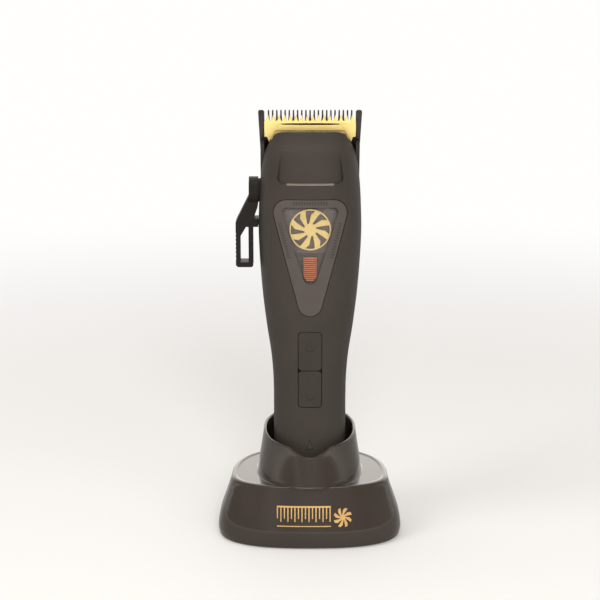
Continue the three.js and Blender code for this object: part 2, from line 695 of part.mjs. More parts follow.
const yokeHalfSlot = shaftRadius - 0.2 + 2 * strokeHalf + 0.2;
const tineDepth = [-10, -6.2];
function driveYoke() {
  const outer = yokeHalfSlot + 2;
  const shelfZ = cutterHeel + 1;
  let made = block([-outer, tineDepth[0], shelfZ], [outer, cutterFront - gap, shelfZ + 2.2]);
  for (const side of [-1, 1]) {
    const [low, high] = side < 0 ? [-outer, -yokeHalfSlot] : [yokeHalfSlot, outer];
    made = made.add(block([low, tineDepth[0], -2.6], [high, tineDepth[1], shelfZ + 0.5]));
  }
  return made;
}

const carriageBack = -2.4 - gap;
const carriageFront = carriageBack - 2.5;
const armInner = -13.4;
const armOuter = -16.7;
const camRest = Math.PI - leverSwing / 2; // the eccentric pin points forwards, a little above level

// The frame that carries the cutter, with an arm down to the taper lever's eccentric.
function cutterCarriage() {
  const bar = block([armOuter, carriageFront, 2], [-armOuter, carriageBack, cutterHeel - gap]);
  const arm = block([armOuter, -14, -11], [armInner, carriageBack, 3]);
  const pin = pinPlace();
  const slot = new THREE.BoxGeometry(20, 4.4, 2 * (camPinRadius + 0.15)).translate(armInner, pin.y, pin.z);
  const back = head.matrix.clone().invert();
  return bar.add(arm).subtract(solid(slot, back));
}

const camPinRadius = 1.2;
const pinPlace = () => new THREE.Vector3(0, camOffset * Math.cos(camRest), leverZ + camOffset * Math.sin(camRest));

function tensionSpring(side) {
  const x = side * 10.5;
  const front = carriageFront - gap;
  const shape = new THREE.Shape([
    [front, 3], [front - 0.8, 3], [front - 1.6, 9], [cutterFront - gap - 0.8, 17], [cutterFront - gap, 17],
    [front - 0.8, 9],
  ].map(([y, z]) => new THREE.Vector2(y, z)));
  const strip = new THREE.ExtrudeGeometry(shape, { depth: 3, bevelEnabled: false });
  strip.applyMatrix4(new THREE.Matrix4().set(0, 0, 1, x - 1.5, 1, 0, 0, 0, 0, 1, 0, 0, 0, 0, 0, 1));
  return solid(strip);
}

function buildHead() {
  place(head, "head_frame", headFrame(), "softBlack");
  place(head, "fixed_blade", fixedBlade(), "blackSteel");
  place(head, "blade_screw_left", bladeScrew(-1), "steel");
  place(head, "blade_screw_right", bladeScrew(1), "steel");
  place(head, "cutter_blade", cutterBlade(), "goldSteel");
  place(head, "drive_yoke", driveYoke(), "innerPlastic");
  place(head, "cutter_carriage", cutterCarriage(), "innerPlastic");
  place(head, "tension_spring_left", tensionSpring(-1), "steel");
  place(head, "tension_spring_right", tensionSpring(1), "steel");
}

// ---------------------------------------------------------------- taper lever
const leverInner = -shellWidth / 2 - 0.15;
const leverHubOuter = leverInner - 4.1;
const leverSeat = -shellWidth / 2 + 1.1; // flat on the casing under the lever's washer
const leverSeatHole = () => rod(leverHubRadius + gap, "x", -shellWidth, leverSeat, [0, leverZ], 24);

function taperLever() {
  const edge = -shellWidth / 2 - gap / 2;
  const outer = leverHubOuter - 6.1;
  const bar = 2; // thickness of the thumb loop's bars
  const low = leverZ - 34.8;
  const cross = leverZ - 16.2;
  const innerBar = leverInner - 2.4;
  const arm = polygon([
    [leverHubOuter, leverZ - 2], [outer, leverZ - 14], [outer, low + 0.8], [outer + 0.8, low], [innerBar, low],
    [innerBar, cross], [edge, cross], [edge, cross + 3.8], [innerBar + 0.3, cross + 3.8],
    [leverInner - 0.2, leverZ - 7.2], [leverInner, leverZ - 2],
  ]);
  arm.holes.push(new THREE.Path([
    [outer + bar, low + bar + 0.3], [innerBar - bar, low + bar + 0.3], [innerBar - bar, cross],
    [innerBar - bar - 1.1, cross], [outer + bar, cross - 4.6],
  ].map(([x, z]) => new THREE.Vector2(x, z))));
  const place_ = [0, leverZ];
  return slab(arm, -leverDepth / 2, leverDepth / 2)
    .add(rod(leverHubRadius, "x", leverHubOuter, leverInner, place_, 24))
    .subtract(rod(screwShank + gap, "x", leverHubOuter - 1, leverInner + 1, place_, 14))
    .subtract(rod(screwHead + gap, "x", leverHubOuter - 1, leverHubOuter + 1.2, place_, 18));
}

function leverCam() {
  const pin = pinPlace();
  const inner = armOuter - gap;
  return rod(axleRadius, "x", leverInner + gap, inner - 1, [0, leverZ])
    .subtract(rod(screwShank + gap, "x", leverInner - 1, leverInner + 4, [0, leverZ], 14))
    .add(rod(4, "x", inner - 2, inner, [0, leverZ]))
    .add(rod(camPinRadius, "x", inner - 1, armInner, [pin.y, pin.z], 16));
}

function buildLever() {
  place(clipper, "taper_lever", taperLever(), "softBlack");
  place(clipper, "lever_cam", leverCam(), "innerPlastic");
  const screw = rod(screwHead, "x", leverHubOuter + 0.1, leverHubOuter + 0.9, [0, leverZ], 18)
    .add(rod(screwShank, "x", leverHubOuter + 0.5, leverInner + 3.6, [0, leverZ], 14))
    .subtract(block([leverHubOuter - 1, -0.3, leverZ - 1.8], [leverHubOuter + 0.5, 0.3, leverZ + 1.8]));
  place(clipper, "lever_screw", screw, "steel");
  const washer = ring(4.6, axleRadius + gap, "x", leverSeat - gap - 0.3, leverSeat - gap, [0, leverZ]);
  place(clipper, "lever_washer", washer, "steel");
}

// ---------------------------------------------------------------- motor, battery and board
function buildMotor() {
  const top = motorBottom + motorLength;
  const centre = [0, 0];
  const seat = bearingRadius + gap;
  const can = rod(motorRadius, "z", motorBottom, top, centre, 28)
    .subtract(rod(motorRadius - 1, "z", motorBottom + 1.2, top + 1, centre, 28))
    .subtract(rod(seat, "z", motorBottom - 1, motorBottom + 3, centre));
  place(clipper, "motor_can", can, "steel");
  const cap = ring(motorRadius - 1 - gap, seat, "z", top - 1.6, top + 0.6, centre, 28);
  place(clipper, "motor_cap", cap, "innerPlastic");
  const winding = ring(motorRadius - 1 - gap, 7.6, "z", motorBottom + 1.5, top - 2, centre, 24);
  place(clipper, "stator_winding", winding, "copper");
  place(clipper, "bearing_lower",
    ring(bearingRadius, shaftRadius + gap, "z", motorBottom - 0.4, motorBottom + 1.9, centre), "steel");
  place(clipper, "bearing_upper",
    ring(bearingRadius, shaftRadius + gap, "z", top - 1.6, top + 0.6, centre), "steel");
  place(clipper, "motor_magnet",
    ring(7, shaftRadius + gap, "z", motorBottom + 3, top - 3, centre), "blackSteel");
  place(clipper, "motor_shaft", rod(shaftRadius, "z", motorBottom - 1.2, top + 3.6, centre, 16), "steel");
  const disc = top + 1.2;
  const eccentric = rod(4.5, "z", disc, disc + 3.2, centre)
    .subtract(rod(shaftRadius + gap, "z", disc - 1, disc + 2.7, centre, 16))
    .add(rod(shaftRadius - 0.2, "z", disc + 3, headZ - 1.2, [strokeHalf, 0], 14));
  place(clipper, "eccentric", eccentric, "steel");
}

function buildElectrics() {
  const cell = rod(batteryRadius, "z", batteryBottom, batteryBottom + batteryLength, [0, batteryY], 28);
  place(clipper, "battery_cell", cell, "cellWrap");
  const board = block([-8.4, boardY, ledTrench - 2], [8.4, boardY + boardThickness, buttonTopZ + 10]);
  place(clipper, "main_board", board, "board");
  const switchFront = (z) => faceY(z) + 3.6 + buttonTravel + 0.35;
  for (const [name, z] of [["power_switch", (buttonSplitZ + buttonTopZ) / 2],
    ["speed_switch", (buttonBottomZ + buttonSplitZ) / 2]]) {
    const body = block([-3, switchFront(z) + 1, z - 3], [3, boardY - gap, z + 3])
      .add(rod(1.7, "y", switchFront(z), switchFront(z) + 1.5, [0, z], 14));
    place(clipper, name, body, "innerPlastic");
  }
  for (const [side, name] of [[-1, "left"], [1, "right"]]) {
    const pad = rod(contactRadius, "z", 0.9, wall + 1, [side * contactX, contactY], 16);
    place(clipper, `charge_contact_${name}`, pad, "goldSteel");
  }
  const port = block([-4.5, portY - 1.6, 0.5], [4.5, portY + 1.6, 7.5])
    .subtract(block([-4, portY - 1.1, 0], [4, portY + 1.1, 6.5]))
    .add(block([-3, portY - 0.35, 1.5], [3, portY + 0.35, 7]));
  place(clipper, "charge_port", port, "steel");
}

buildStand();
buildCasing();
buildHead();
buildLever();
buildMotor();
buildElectrics();

export default clipperOnStand;
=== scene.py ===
import math
import bpy
import bmesh
from mathutils import Matrix, Vector


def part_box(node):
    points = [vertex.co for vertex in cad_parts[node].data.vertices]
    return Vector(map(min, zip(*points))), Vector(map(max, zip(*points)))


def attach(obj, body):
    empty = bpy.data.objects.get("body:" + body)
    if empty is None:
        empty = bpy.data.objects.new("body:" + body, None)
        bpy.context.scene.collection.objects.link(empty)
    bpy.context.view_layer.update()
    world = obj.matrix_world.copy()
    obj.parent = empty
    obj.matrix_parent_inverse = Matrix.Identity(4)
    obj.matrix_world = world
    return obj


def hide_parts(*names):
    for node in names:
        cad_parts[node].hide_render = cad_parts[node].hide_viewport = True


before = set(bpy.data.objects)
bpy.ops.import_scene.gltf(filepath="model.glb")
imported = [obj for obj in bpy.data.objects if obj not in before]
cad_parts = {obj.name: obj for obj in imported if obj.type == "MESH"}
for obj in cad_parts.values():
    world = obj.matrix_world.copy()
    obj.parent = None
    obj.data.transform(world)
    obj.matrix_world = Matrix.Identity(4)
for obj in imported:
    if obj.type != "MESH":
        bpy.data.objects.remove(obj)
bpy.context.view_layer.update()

scene = bpy.context.scene
mm = 0.001

# The camera: its place in metres, its tilt in degrees and its lens in millimetres.
view = {"place": (-0.0045, -0.7, 0.29), "tilt": 75.51, "lens": 94.44}
bpy.ops.object.camera_add(location=view["place"], rotation=(math.radians(view["tilt"]), 0, 0))
camera = bpy.context.object
camera.data.lens = view["lens"]
camera.data.sensor_width = 36
camera.data.clip_start = 0.01
scene.camera = camera
scene.view_settings.view_transform = "Standard"


# A shader socket that adds a node for each sum it takes part in.
class Wire:
    def __init__(self, tree, socket):
        self.tree = tree
        self.socket = socket

    def node(self, kind, settings=None, inputs=None, output=0):
        node = self.tree.nodes.new(kind)
        for key, value in (settings or {}).items():
            if key == "stops":
                ramp = node.color_ramp
                while len(ramp.elements) < len(value):
                    ramp.elements.new(0.5)
                for element, (place, shade) in zip(ramp.elements, value):
                    element.position = place
                    element.color = shade if len(shade) == 4 else (*shade, 1)
            else:
                setattr(node, key, value)
        for key, value in (inputs or {}).items():
            if isinstance(value, Wire):
                self.tree.links.new(value.socket, node.inputs[key])
            else:
                node.inputs[key].default_value = value
        return Wire(self.tree, node.outputs[output])

    def math(self, operation, other, swap=False):
        first, second = (other, self) if swap else (self, other)
        return self.node("ShaderNodeMath", {"operation": operation}, {0: first, 1: second})

    def part(self, axis):
        return self.node("ShaderNodeSeparateXYZ", inputs={0: self}, output="xyz".index(axis))

    def within(self, middle, half):
        return (self - middle).math("ABSOLUTE", 0) < half

    def blend(self, low, high):
        ends = [end if isinstance(end, Wire) else (*end, 1) for end in (low, high)]
        return self.node("ShaderNodeMix", {"data_type": "RGBA"}, {0: self, 6: ends[0], 7: ends[1]}, output=2)

    def __add__(self, other): return self.math("ADD", other)
    def __sub__(self, other): return self.math("SUBTRACT", other)
    def __rsub__(self, other): return self.math("SUBTRACT", other, True)
    def __mul__(self, other): return self.math("MULTIPLY", other)
    def __gt__(self, other): return self.math("GREATER_THAN", other)
    def __lt__(self, other): return self.math("LESS_THAN", other)


# A new material: its shader node, and where its patterns start from.
def newMaterial(name, color, roughness, metallic=0, **sockets):
    material = bpy.data.materials.new(name)
    material.use_nodes = True
    tree = material.node_tree
    tree.nodes.clear()
    output = tree.nodes.new("ShaderNodeOutputMaterial")
    shader = tree.nodes.new("ShaderNodeBsdfPrincipled")
    tree.links.new(shader.outputs[0], output.inputs[0])
    shader.inputs["Base Color"].default_value = (*color, 1)
    shader.inputs["Roughness"].default_value = roughness
    shader.inputs["Metallic"].default_value = metallic
    for key, value in sockets.items():
        shader.inputs[key.replace("_", " ")].default_value = value
    start = Wire(tree, None)
    place = start.node("ShaderNodeTexCoord", output=3)
    return material, shader, place


def plug(shader, key, wire):
    wire.tree.links.new(wire.socket, shader.inputs[key])


def noise(place, scale, detail=3, stretch=None):
    if stretch:
        place = place.node("ShaderNodeMapping", inputs={0: place, 3: stretch})
    return place.node("ShaderNodeTexNoise", inputs={"Vector": place, "Scale": scale, "Detail": detail})


def bump(shader, height, distance, strength=1):
    plug(shader, "Normal", height.node("ShaderNodeBump",
         inputs={"Height": height, "Distance": distance, "Strength": strength}))


def tint(wire, low, high, start=0.3, end=0.7):
    return wire.node("ShaderNodeValToRGB", {"stops": [(start, low), (end, high)]}, {0: wire})


def shade(color, factor):
    return tuple(channel * factor for channel in color)


# Moulded plastic: a fine spark-eroded grain, slight unevenness in tone and sheen.
# A lip is a painted highlight, a lighter line along a recess's lower edge: its height, half thickness, half width and
# color.
def plasticMaterial(name, color, roughness, grain=1.0, grainSize=5200, lip=None, **sockets):
    material, shader, place = newMaterial(name, color, roughness, **sockets)
    cloud = noise(place, 60, 4)
    fine = noise(place, grainSize, 2)
    paint = tint(cloud * 0.7 + fine * 0.3, shade(color, 0.9), shade(color, 1.1))
    if lip:
        height, thin, half, highlightColor = lip
        # Along the lip the colour is lightened into a painted highlight.
        paint = (place.part("z").within(height, thin) * place.part("x").within(0, half)).blend(paint, highlightColor)
    plug(shader, "Base Color", paint)
    plug(shader, "Roughness", (cloud - 0.5) * 0.12 + fine * 0.05 + (roughness - 0.025))
    bump(shader, fine, 0.00002 * grain, 0.5)
    return material


# Polished plastic: almost smooth, a clear top layer, a trace of handling haze.
def glossMaterial(name, color, roughness, coat=1.0):
    material, shader, place = newMaterial(name, color, roughness, Coat_Weight=coat, Coat_Roughness=0.03,
                                          Coat_IOR=1.45, Specular_IOR_Level=0.25)
    haze = noise(place, 35, 5)
    plug(shader, "Base Color", tint(haze, shade(color, 0.92), shade(color, 1.08)))
    plug(shader, "Roughness", (haze - 0.5) * 0.1 + roughness)
    bump(shader, noise(place, 90, 2), 0.00004, 0.25)
    return material


# Metal with drawn or ground lines: stretch says along which way they run.
# A groove gets painted shade, a dark band on its floor: the frame it lies in, its depth, height and half height.
def metalMaterial(name, color, roughness, stretch=(1, 1, 1), lines=1.0, tone=0.12, metallic=1, groove=None):
    material, shader, place = newMaterial(name, color, roughness, metallic=metallic)
    drawn = noise(place, 900, 4, stretch)
    cloud = noise(place, 80, 3)
    paint = tint(drawn * 0.6 + cloud * 0.4, shade(color, 1 - tone), shade(color, 1 + tone))
    if groove:
        lie, depth, height, half = groove
        local = place.node("ShaderNodeMapping", {"vector_type": "TEXTURE"},
                           {0: place, 1: lie.translation, 2: lie.to_euler()})
        # Painted shade: the colour turns dark on the groove's floor.
        paint = ((local.part("y") > depth) * local.part("z").within(height, half)).blend(paint, shade(color, 0.05))
    plug(shader, "Base Color", paint)
    plug(shader, "Roughness", (drawn - 0.5) * 0.16 + (cloud - 0.5) * 0.08 + roughness)
    bump(shader, drawn, 0.00001 * lines, 0.5)
    return material


def rubberMaterial(name, color):
    material, shader, place = newMaterial(name, color, 0.85)
    grit = noise(place, 2600, 5)
    plug(shader, "Base Color", tint(grit, shade(color, 0.75), shade(color, 1.3)))
    plug(shader, "Roughness", grit * 0.2 + 0.72)
    bump(shader, grit, 0.00006, 0.7)
    return material


# A circuit board: solder mask with copper tracks under it and bright pads.
def boardMaterial(name, color):
    material, shader, place = newMaterial(name, color, 0.35, Coat_Weight=0.4)
    cells = place.node("ShaderNodeTexBrick", inputs={"Vector": place, "Scale": 260, "Mortar Size": 0.05}, output=1)
    pads = place.node("ShaderNodeTexVoronoi", {"feature": "F1"}, {"Vector": place, "Scale": 420})
    spot = pads < 0.18
    plug(shader, "Base Color", spot.blend(cells.blend(color, shade(color, 1.7)), (0.6, 0.58, 0.55)))
    plug(shader, "Metallic", spot * 0.9)
    bump(shader, cells, 0.00004, 0.4)
    return material


def wrapMaterial(name, color):
    material, shader, place = newMaterial(name, color, 0.3, Coat_Weight=0.5)
    crease = noise(place, 300, 4, (1, 1, 0.08))
    plug(shader, "Base Color", tint(crease, shade(color, 0.85), shade(color, 1.15)))
    plug(shader, "Roughness", crease * 0.2 + 0.2)
    bump(shader, crease, 0.00006, 0.4)
    return material


# A copper winding: lacquered wire, each turn a ridge along the height.
def windingMaterial(name, color, turns):
    material, shader, place = newMaterial(name, color, 0.3, metallic=1, Coat_Weight=0.3)
    ridges = place.node("ShaderNodeTexWave", {"wave_type": "BANDS", "bands_direction": "Z", "wave_profile": "SIN"},
                        {"Vector": place, "Scale": turns, "Distortion": 0.4, "Detail": 1}, output=1)
    # The colour is painted shade in the troughs between turns and a painted highlight on each crest.
    plug(shader, "Base Color", tint(ridges, shade(color, 0.45), shade(color, 1.15), 0.1, 0.8))
    plug(shader, "Roughness", noise(place, 700) * 0.2 + 0.22)
    bump(shader, ridges, 0.0002, 0.7)
    return material


def clearMaterial(name):
    material, shader, place = newMaterial(name, (0.15, 0.15, 0.15), 0.03, Alpha=0.09)
    plug(shader, "Roughness", noise(place, 50, 3) * 0.05 + 0.01)
    bump(shader, noise(place, 120, 2), 0.00002, 0.2)
    return material


# The plate behind the window: a lighter upper field and a darker lower one.
def trayMaterial(name, upper, lower, height):
    material, shader, place = newMaterial(name, upper, 0.5)
    cloud = noise(place, 90, 4)
    fields = [tint(cloud, shade(color, 0.93), shade(color, 1.07)) for color in (lower, upper)]
    plug(shader, "Base Color", (place.part("z") > height).blend(*fields))
    plug(shader, "Roughness", cloud * 0.12 + 0.42)
    bump(shader, noise(place, 5200, 2), 0.00001, 0.5)
    return material


softColor = (0.0435, 0.0354, 0.0293)
looks = {
    "softBlack": plasticMaterial("soft_touch_black", softColor, 0.5, Specular_IOR_Level=0.35),
    # The front casing's lip: a painted highlight along the lower edge of the lid's recess.
    "frontBlack": plasticMaterial("front_black", softColor, 0.5, Specular_IOR_Level=0.35,
                                  lip=(0.16612, 0.0003, 0.0104, (0.2, 0.168, 0.143))),
    "leverBlack": plasticMaterial("lever_black", (0.015, 0.0125, 0.0105), 0.5, Specular_IOR_Level=0.25),
    "glossBlack": glossMaterial("polished_black", (0.041, 0.032, 0.026), 0.14),
    "innerBlack": plasticMaterial("inner_black", (0.028, 0.028, 0.03), 0.55, 1.5, 2600),
    "greyPanel": plasticMaterial("satin_grey_panel", (0.076, 0.062, 0.0545), 0.45, 0.5),
    "darkPrint": plasticMaterial("dark_print", (0.035, 0.029, 0.025), 0.5, 0.3),
    "keyBlack": plasticMaterial("key_black", shade(softColor, 0.92), 0.5, Specular_IOR_Level=0.35),
    "seatBlack": plasticMaterial("seat_black", (0.03, 0.026, 0.022), 0.45),
    "greyTray": trayMaterial("tray_grey", (0.165, 0.132, 0.122), (0.11, 0.09, 0.08), 0.1355),
    "lightGuide": plasticMaterial("tinted_light_guide", (0.041, 0.035, 0.031), 0.25, 0.3),
    "clearLens": clearMaterial("clear_lens"),
    "gold": metalMaterial("gold_plate", (1.0, 0.76, 0.28), 0.35, (1, 1, 0.1), 1.0, 0.05, metallic=0.8),
    "badgeGold": metalMaterial("badge_gold", (0.98, 0.74, 0.3), 0.34, (1, 1, 1), 0.8, 0.1, metallic=0.45),
    "goldPrint": metalMaterial("gold_print", (0.8, 0.5, 0.19), 0.4, (1, 1, 1), 0.4, 0.15, metallic=0.4),
    "blackSteel": metalMaterial("black_coated_steel", (0.09, 0.08, 0.073), 0.36, (1, 1, 0.05), 1.5),
    "steel": metalMaterial("bright_steel", (0.55, 0.55, 0.56), 0.26, (0.15, 0.15, 1)),
    "copper": windingMaterial("copper_winding", (0.62, 0.27, 0.13), 420),
    "wire": metalMaterial("copper_wire", (0.72, 0.26, 0.12), 0.36, (0.1, 1, 1), 0.6, metallic=0.5),
    "board": boardMaterial("solder_mask", (0.02, 0.12, 0.05)),
    "rubber": rubberMaterial("black_rubber", (0.03, 0.03, 0.03)),
    "cellWrap": wrapMaterial("cell_wrap", (0.04, 0.13, 0.3)),
}
print("materials ready")


def deselectAll():
    if bpy.context.object and bpy.context.object.mode != "OBJECT":
        bpy.ops.object.mode_set(mode="OBJECT")
    bpy.ops.object.select_all(action="DESELECT")


def pick(piece):
    deselectAll()
    piece.select_set(True)
    bpy.context.view_layer.objects.active = piece


def applyModifier(piece, kind, **settings):
    pick(piece)
    modifier = piece.modifiers.new(kind.lower(), kind)
    for key, value in settings.items():
        setattr(modifier, key, value)
    bpy.ops.object.modifier_apply(modifier=modifier.name)


def combine(piece, other, operation="UNION"):
    applyModifier(piece, "BOOLEAN", object=other, operation=operation, solver="EXACT")
    bpy.data.objects.remove(other)
    return piece


def cut(piece, other):
    return combine(piece, other, "DIFFERENCE")


def common(piece, other):
    return combine(piece, other, "INTERSECT")


# Puts a piece where a matrix says and leaves its object at the origin.
def settle(piece, matrix=None):
    if matrix:
        piece.matrix_world = matrix @ piece.matrix_world
    pick(piece)
    bpy.ops.object.transform_apply(location=True, rotation=True, scale=True)
    return piece


# A closed skin drawn through rings. Each ring is a function of the angle and returns millimetres.
def loft(name, rings, around=96):
    deselectAll()
    bpy.ops.mesh.primitive_circle_add(vertices=around, radius=0.01, fill_type="NGON")
    piece = bpy.context.object
    piece.name = name
    bpy.ops.object.mode_set(mode="EDIT")
    angles = [i * math.tau / around for i in range(around)]

    mesh = bmesh.from_edit_mesh(piece.data)
    mesh.verts.ensure_lookup_table()
    for vert, angle in zip(mesh.verts, angles):
        vert.co = Vector(rings[0](angle)) * mm
    bmesh.update_edit_mesh(piece.data)
    for ring in rings[1:]:
        bpy.ops.mesh.extrude_region_move()
        mesh = bmesh.from_edit_mesh(piece.data)
        raised = [v for v in mesh.verts if v.select]
        raised.sort(key=lambda v: v.index)
        for vert, angle in zip(raised, angles):
            vert.co = Vector(ring(angle)) * mm
        bmesh.update_edit_mesh(piece.data)
    bpy.ops.mesh.select_all(action="SELECT")
    bpy.ops.mesh.normals_make_consistent(inside=False)
    bpy.ops.object.mode_set(mode="OBJECT")
    return piece


# A flat outline of (x, z) points in millimetres, given a thickness from y0 to y1.
def slab(name, points, y0, y1):
    deselectAll()
    bpy.ops.mesh.primitive_circle_add(vertices=len(points), radius=0.01, fill_type="NGON")
    piece = bpy.context.object
    piece.name = name
    bpy.ops.object.mode_set(mode="EDIT")
    mesh = bmesh.from_edit_mesh(piece.data)
    mesh.verts.ensure_lookup_table()
    for vert, (x, z) in zip(mesh.verts, points):
        vert.co = Vector((x, y0, z)) * mm
    bmesh.update_edit_mesh(piece.data)
    bpy.ops.mesh.extrude_region_move(TRANSFORM_OT_translate={"value": (0, (y1 - y0) * mm, 0)})
    bpy.ops.mesh.select_all(action="SELECT")
    bpy.ops.mesh.normals_make_consistent(inside=False)
    bpy.ops.object.mode_set(mode="OBJECT")
    return piece


def block(name, low, high, bevel=0, segments=3):
    deselectAll()
    bpy.ops.mesh.primitive_cube_add(size=1, location=[(a + b) / 2 * mm for a, b in zip(low, high)])
    piece = bpy.context.object
    piece.name = name
    piece.scale = [(b - a) * mm for a, b in zip(low, high)]
    settle(piece)
    if bevel:
        soften(piece, bevel, segments)
    return piece


def rod(name, radius, axis, start, end, place, sides=48, bevel=0):
    deselectAll()
    middle = (start + end) / 2
    spots = {"x": (middle, *place), "y": (place[0], middle, place[1]), "z": (*place, middle)}
    turns = {"x": (0, math.pi / 2, 0), "y": (-math.pi / 2, 0, 0), "z": (0, 0, 0)}
    bpy.ops.mesh.primitive_cone_add(
        vertices=sides, radius1=radius * mm, radius2=radius * mm, depth=(end - start) * mm,
        location=[c * mm for c in spots[axis]], rotation=turns[axis])
    piece = bpy.context.object
    piece.name = name
    settle(piece)
    if bevel:
        soften(piece, bevel)
    return piece


def soften(piece, width, segments=3, angle=35):
    applyModifier(piece, "BEVEL", width=width * mm, segments=segments, limit_method="ANGLE",
                  angle_limit=math.radians(angle), use_clamp_overlap=True, harden_normals=False)
    return piece


def join(pieces, name):
    deselectAll()
    for piece in pieces:
        piece.select_set(True)
    bpy.context.view_layer.objects.active = pieces[0]
    bpy.ops.object.join()
    pieces[0].name = name
    return pieces[0]


def finish(piece, name, body, look, nodes=(), angle=32, weighted=True):
    piece.name = name
    pick(piece)
    bpy.ops.object.shade_smooth_by_angle(angle=math.radians(angle))
    if weighted:
        applyModifier(piece, "WEIGHTED_NORMAL", keep_sharp=True, weight=50)
    piece.data.materials.clear()
    piece.data.materials.append(looks[look])
    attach(piece, body)
    if nodes:
        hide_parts(*nodes)


# A smooth curve through (position, value) points, level at its ends.
def profile(points):
    slopes = [0] + [(b[1] - a[1]) / (b[0] - a[0]) for a, b in zip(points, points[2:])] + [0]

    def at(x):
        x = min(max(x, points[0][0]), points[-1][0])
        k = max(i for i, p in enumerate(points[:-1]) if p[0] <= x)
        (x0, v0), (x1, v1) = points[k], points[k + 1]
        span = x1 - x0
        t = (x - x0) / span
        return (v0 * (1 + 2 * t) * (1 - t) ** 2 + slopes[k] * span * t * (1 - t) ** 2
                + v1 * t * t * (3 - 2 * t) + slopes[k + 1] * span * t * t * (t - 1))
    return at


def signed(value, exponent):
    return math.copysign(abs(value) ** (2 / exponent), value)


def arc(x, z, radius, start, end, steps=12):
    return [(x + radius * math.cos(start + (end - start) * i / steps),
             z + radius * math.sin(start + (end - start) * i / steps)) for i in range(steps + 1)]


farOut = 60  # past every side of the object, in millimetres

# The floor turns plain white between two distances, which only the camera sees.
studio = {"floorSize": 40, "floorColor": (0.86, 0.838, 0.822), "worldStrength": 0.32,
          "whiteNear": 0.12, "whiteFar": 0.75, "nearShare": 0.04, "mirrorLevel": 0.15, "mirrorShare": 0.75}
bpy.ops.mesh.primitive_plane_add(size=studio["floorSize"])
floor = bpy.context.object
floor.name = "floor"
floorMaterial, floorShader, floorPlace = newMaterial("studio_floor", studio["floorColor"], 0.8)
plug(floorShader, "Roughness", noise(floorPlace, 3) * 0.1 + 0.75)
distance = floorPlace.node("ShaderNodeVectorMath", {"operation": "LENGTH"}, {0: floorPlace}, output=1)
fade = distance.node("ShaderNodeMapRange", {"interpolation_type": "SMOOTHSTEP"},
                     {0: distance, 1: studio["whiteNear"], 2: studio["whiteFar"], 3: studio["nearShare"], 4: 1.0})
seen = floorPlace.node("ShaderNodeLightPath")
glow = seen.node("ShaderNodeEmission", inputs={0: (1, 0.993, 0.98, 1), 1: 1.0})
floorTree = floorMaterial.node_tree
bare = Wire(floorTree, floorShader.outputs[0])
whitened = seen.node("ShaderNodeMixShader", inputs={0: seen * fade, 1: bare, 2: glow})
# Polished pieces show a dimmer floor close by, as with a dark card laid round them.
mirrored = Wire(floorTree, seen.socket.node.outputs[3])
dim = seen.node("ShaderNodeEmission", inputs={0: (1, 0.96, 0.93, 1), 1: studio["mirrorLevel"]})
nearMirror = mirrored * (1 - fade) * studio["mirrorShare"]
whitened = seen.node("ShaderNodeMixShader", inputs={0: nearMirror, 1: whitened, 2: dim})
floorTree.links.new(whitened.socket, floorTree.nodes["Material Output"].inputs[0])
floor.data.materials.append(floorMaterial)

world = bpy.data.worlds.new("studio_world")
scene.world = world
world.use_nodes = True
tree = world.node_tree
tree.nodes.clear()
worldOut = tree.nodes.new("ShaderNodeOutputWorld")
seen = Wire(tree, None).node("ShaderNodeLightPath")
glossy = Wire(tree, seen.socket.node.outputs[3])
lit = seen.node("ShaderNodeBackground", inputs={0: (1, 0.985, 0.965, 1), 1: studio["worldStrength"]})
plain = seen.node("ShaderNodeBackground", inputs={0: (1, 1, 0.985, 1), 1: 1.0})
way = seen.node("ShaderNodeTexCoord", output=0)
# How bright the studio is from its left to its right, in front of the object and behind it.
frontLevels = ((0, 0.18), (0.1, 0.2), (0.24, 0.15), (0.36, 0.42), (0.44, 0.24), (0.5, 0.36), (0.62, 0.2),
               (0.78, 0.08), (0.9, 0.16), (1, 0.28))
backLevels = ((0, 0.3), (0.22, 0.55), (0.4, 1), (0.62, 1), (0.82, 0.75), (1, 0.6))
frontBands, backBands = [
    way.node("ShaderNodeValToRGB", {"stops": [(place, (level,) * 3) for place, level in levels]},
             {0: way.part("x") * 0.5 + 0.5}) for levels in (frontLevels, backLevels)]
behind = way.node("ShaderNodeMapRange", {"interpolation_type": "SMOOTHSTEP"},
                  {0: way.part("y"), 1: 0.1, 2: 0.7, 3: 0, 4: 1})
strength = way.node("ShaderNodeMix", {"data_type": "FLOAT"}, {0: behind, 2: frontBands, 3: backBands * 1.9}, output=0)
bright = seen.node("ShaderNodeBackground", inputs={0: (1, 0.94, 0.885, 1), 1: strength})
mixed = seen.node("ShaderNodeMixShader", inputs={0: glossy, 1: lit, 2: bright})
mixed = seen.node("ShaderNodeMixShader", inputs={0: seen, 1: mixed, 2: plain})
tree.links.new(mixed.socket, worldOut.inputs[0])

lamps = {
    "key": {"place": (-0.9, -0.5, 1.1), "size": 0.6, "power": 6, "aim": (0, 0, 0.1)},
    "top": {"place": (-0.1, 0.2, 1.3), "size": 0.9, "power": 5, "aim": (0, 0, 0.1)},
    "fill": {"place": (0.8, -1.0, 0.8), "size": 0.8, "power": 3.5, "aim": (0, 0, 0.1)},
    "front": {"place": (0.1, -1.2, 0.75), "size": 0.5, "power": 12, "aim": (0, 0, 0.12)},
    "edge": {"place": (0, -0.27, 1.15), "size": 0.6, "power": 1.3, "aim": (0, 0, 0.1)},
}
for name, lamp in lamps.items():
    bpy.ops.object.light_add(type="AREA", location=lamp["place"])
    light = bpy.context.object
    light.name = name + "_light"
    light.data.size = lamp["size"]
    light.data.energy = lamp["power"]
    light.data.color = (1, 0.985, 0.96)
    light.visible_glossy = name == "edge"
    light.visible_diffuse = name != "edge"
    if name == "edge":  # a long strip that only shows in reflections
        light.data.shape = "RECTANGLE"
        light.data.size_y = 0.12
    light.rotation_euler = (Vector(lamp["aim"]) - Vector(lamp["place"])).to_track_quat("-Z", "Y").to_euler()
print("view, floor and light ready")


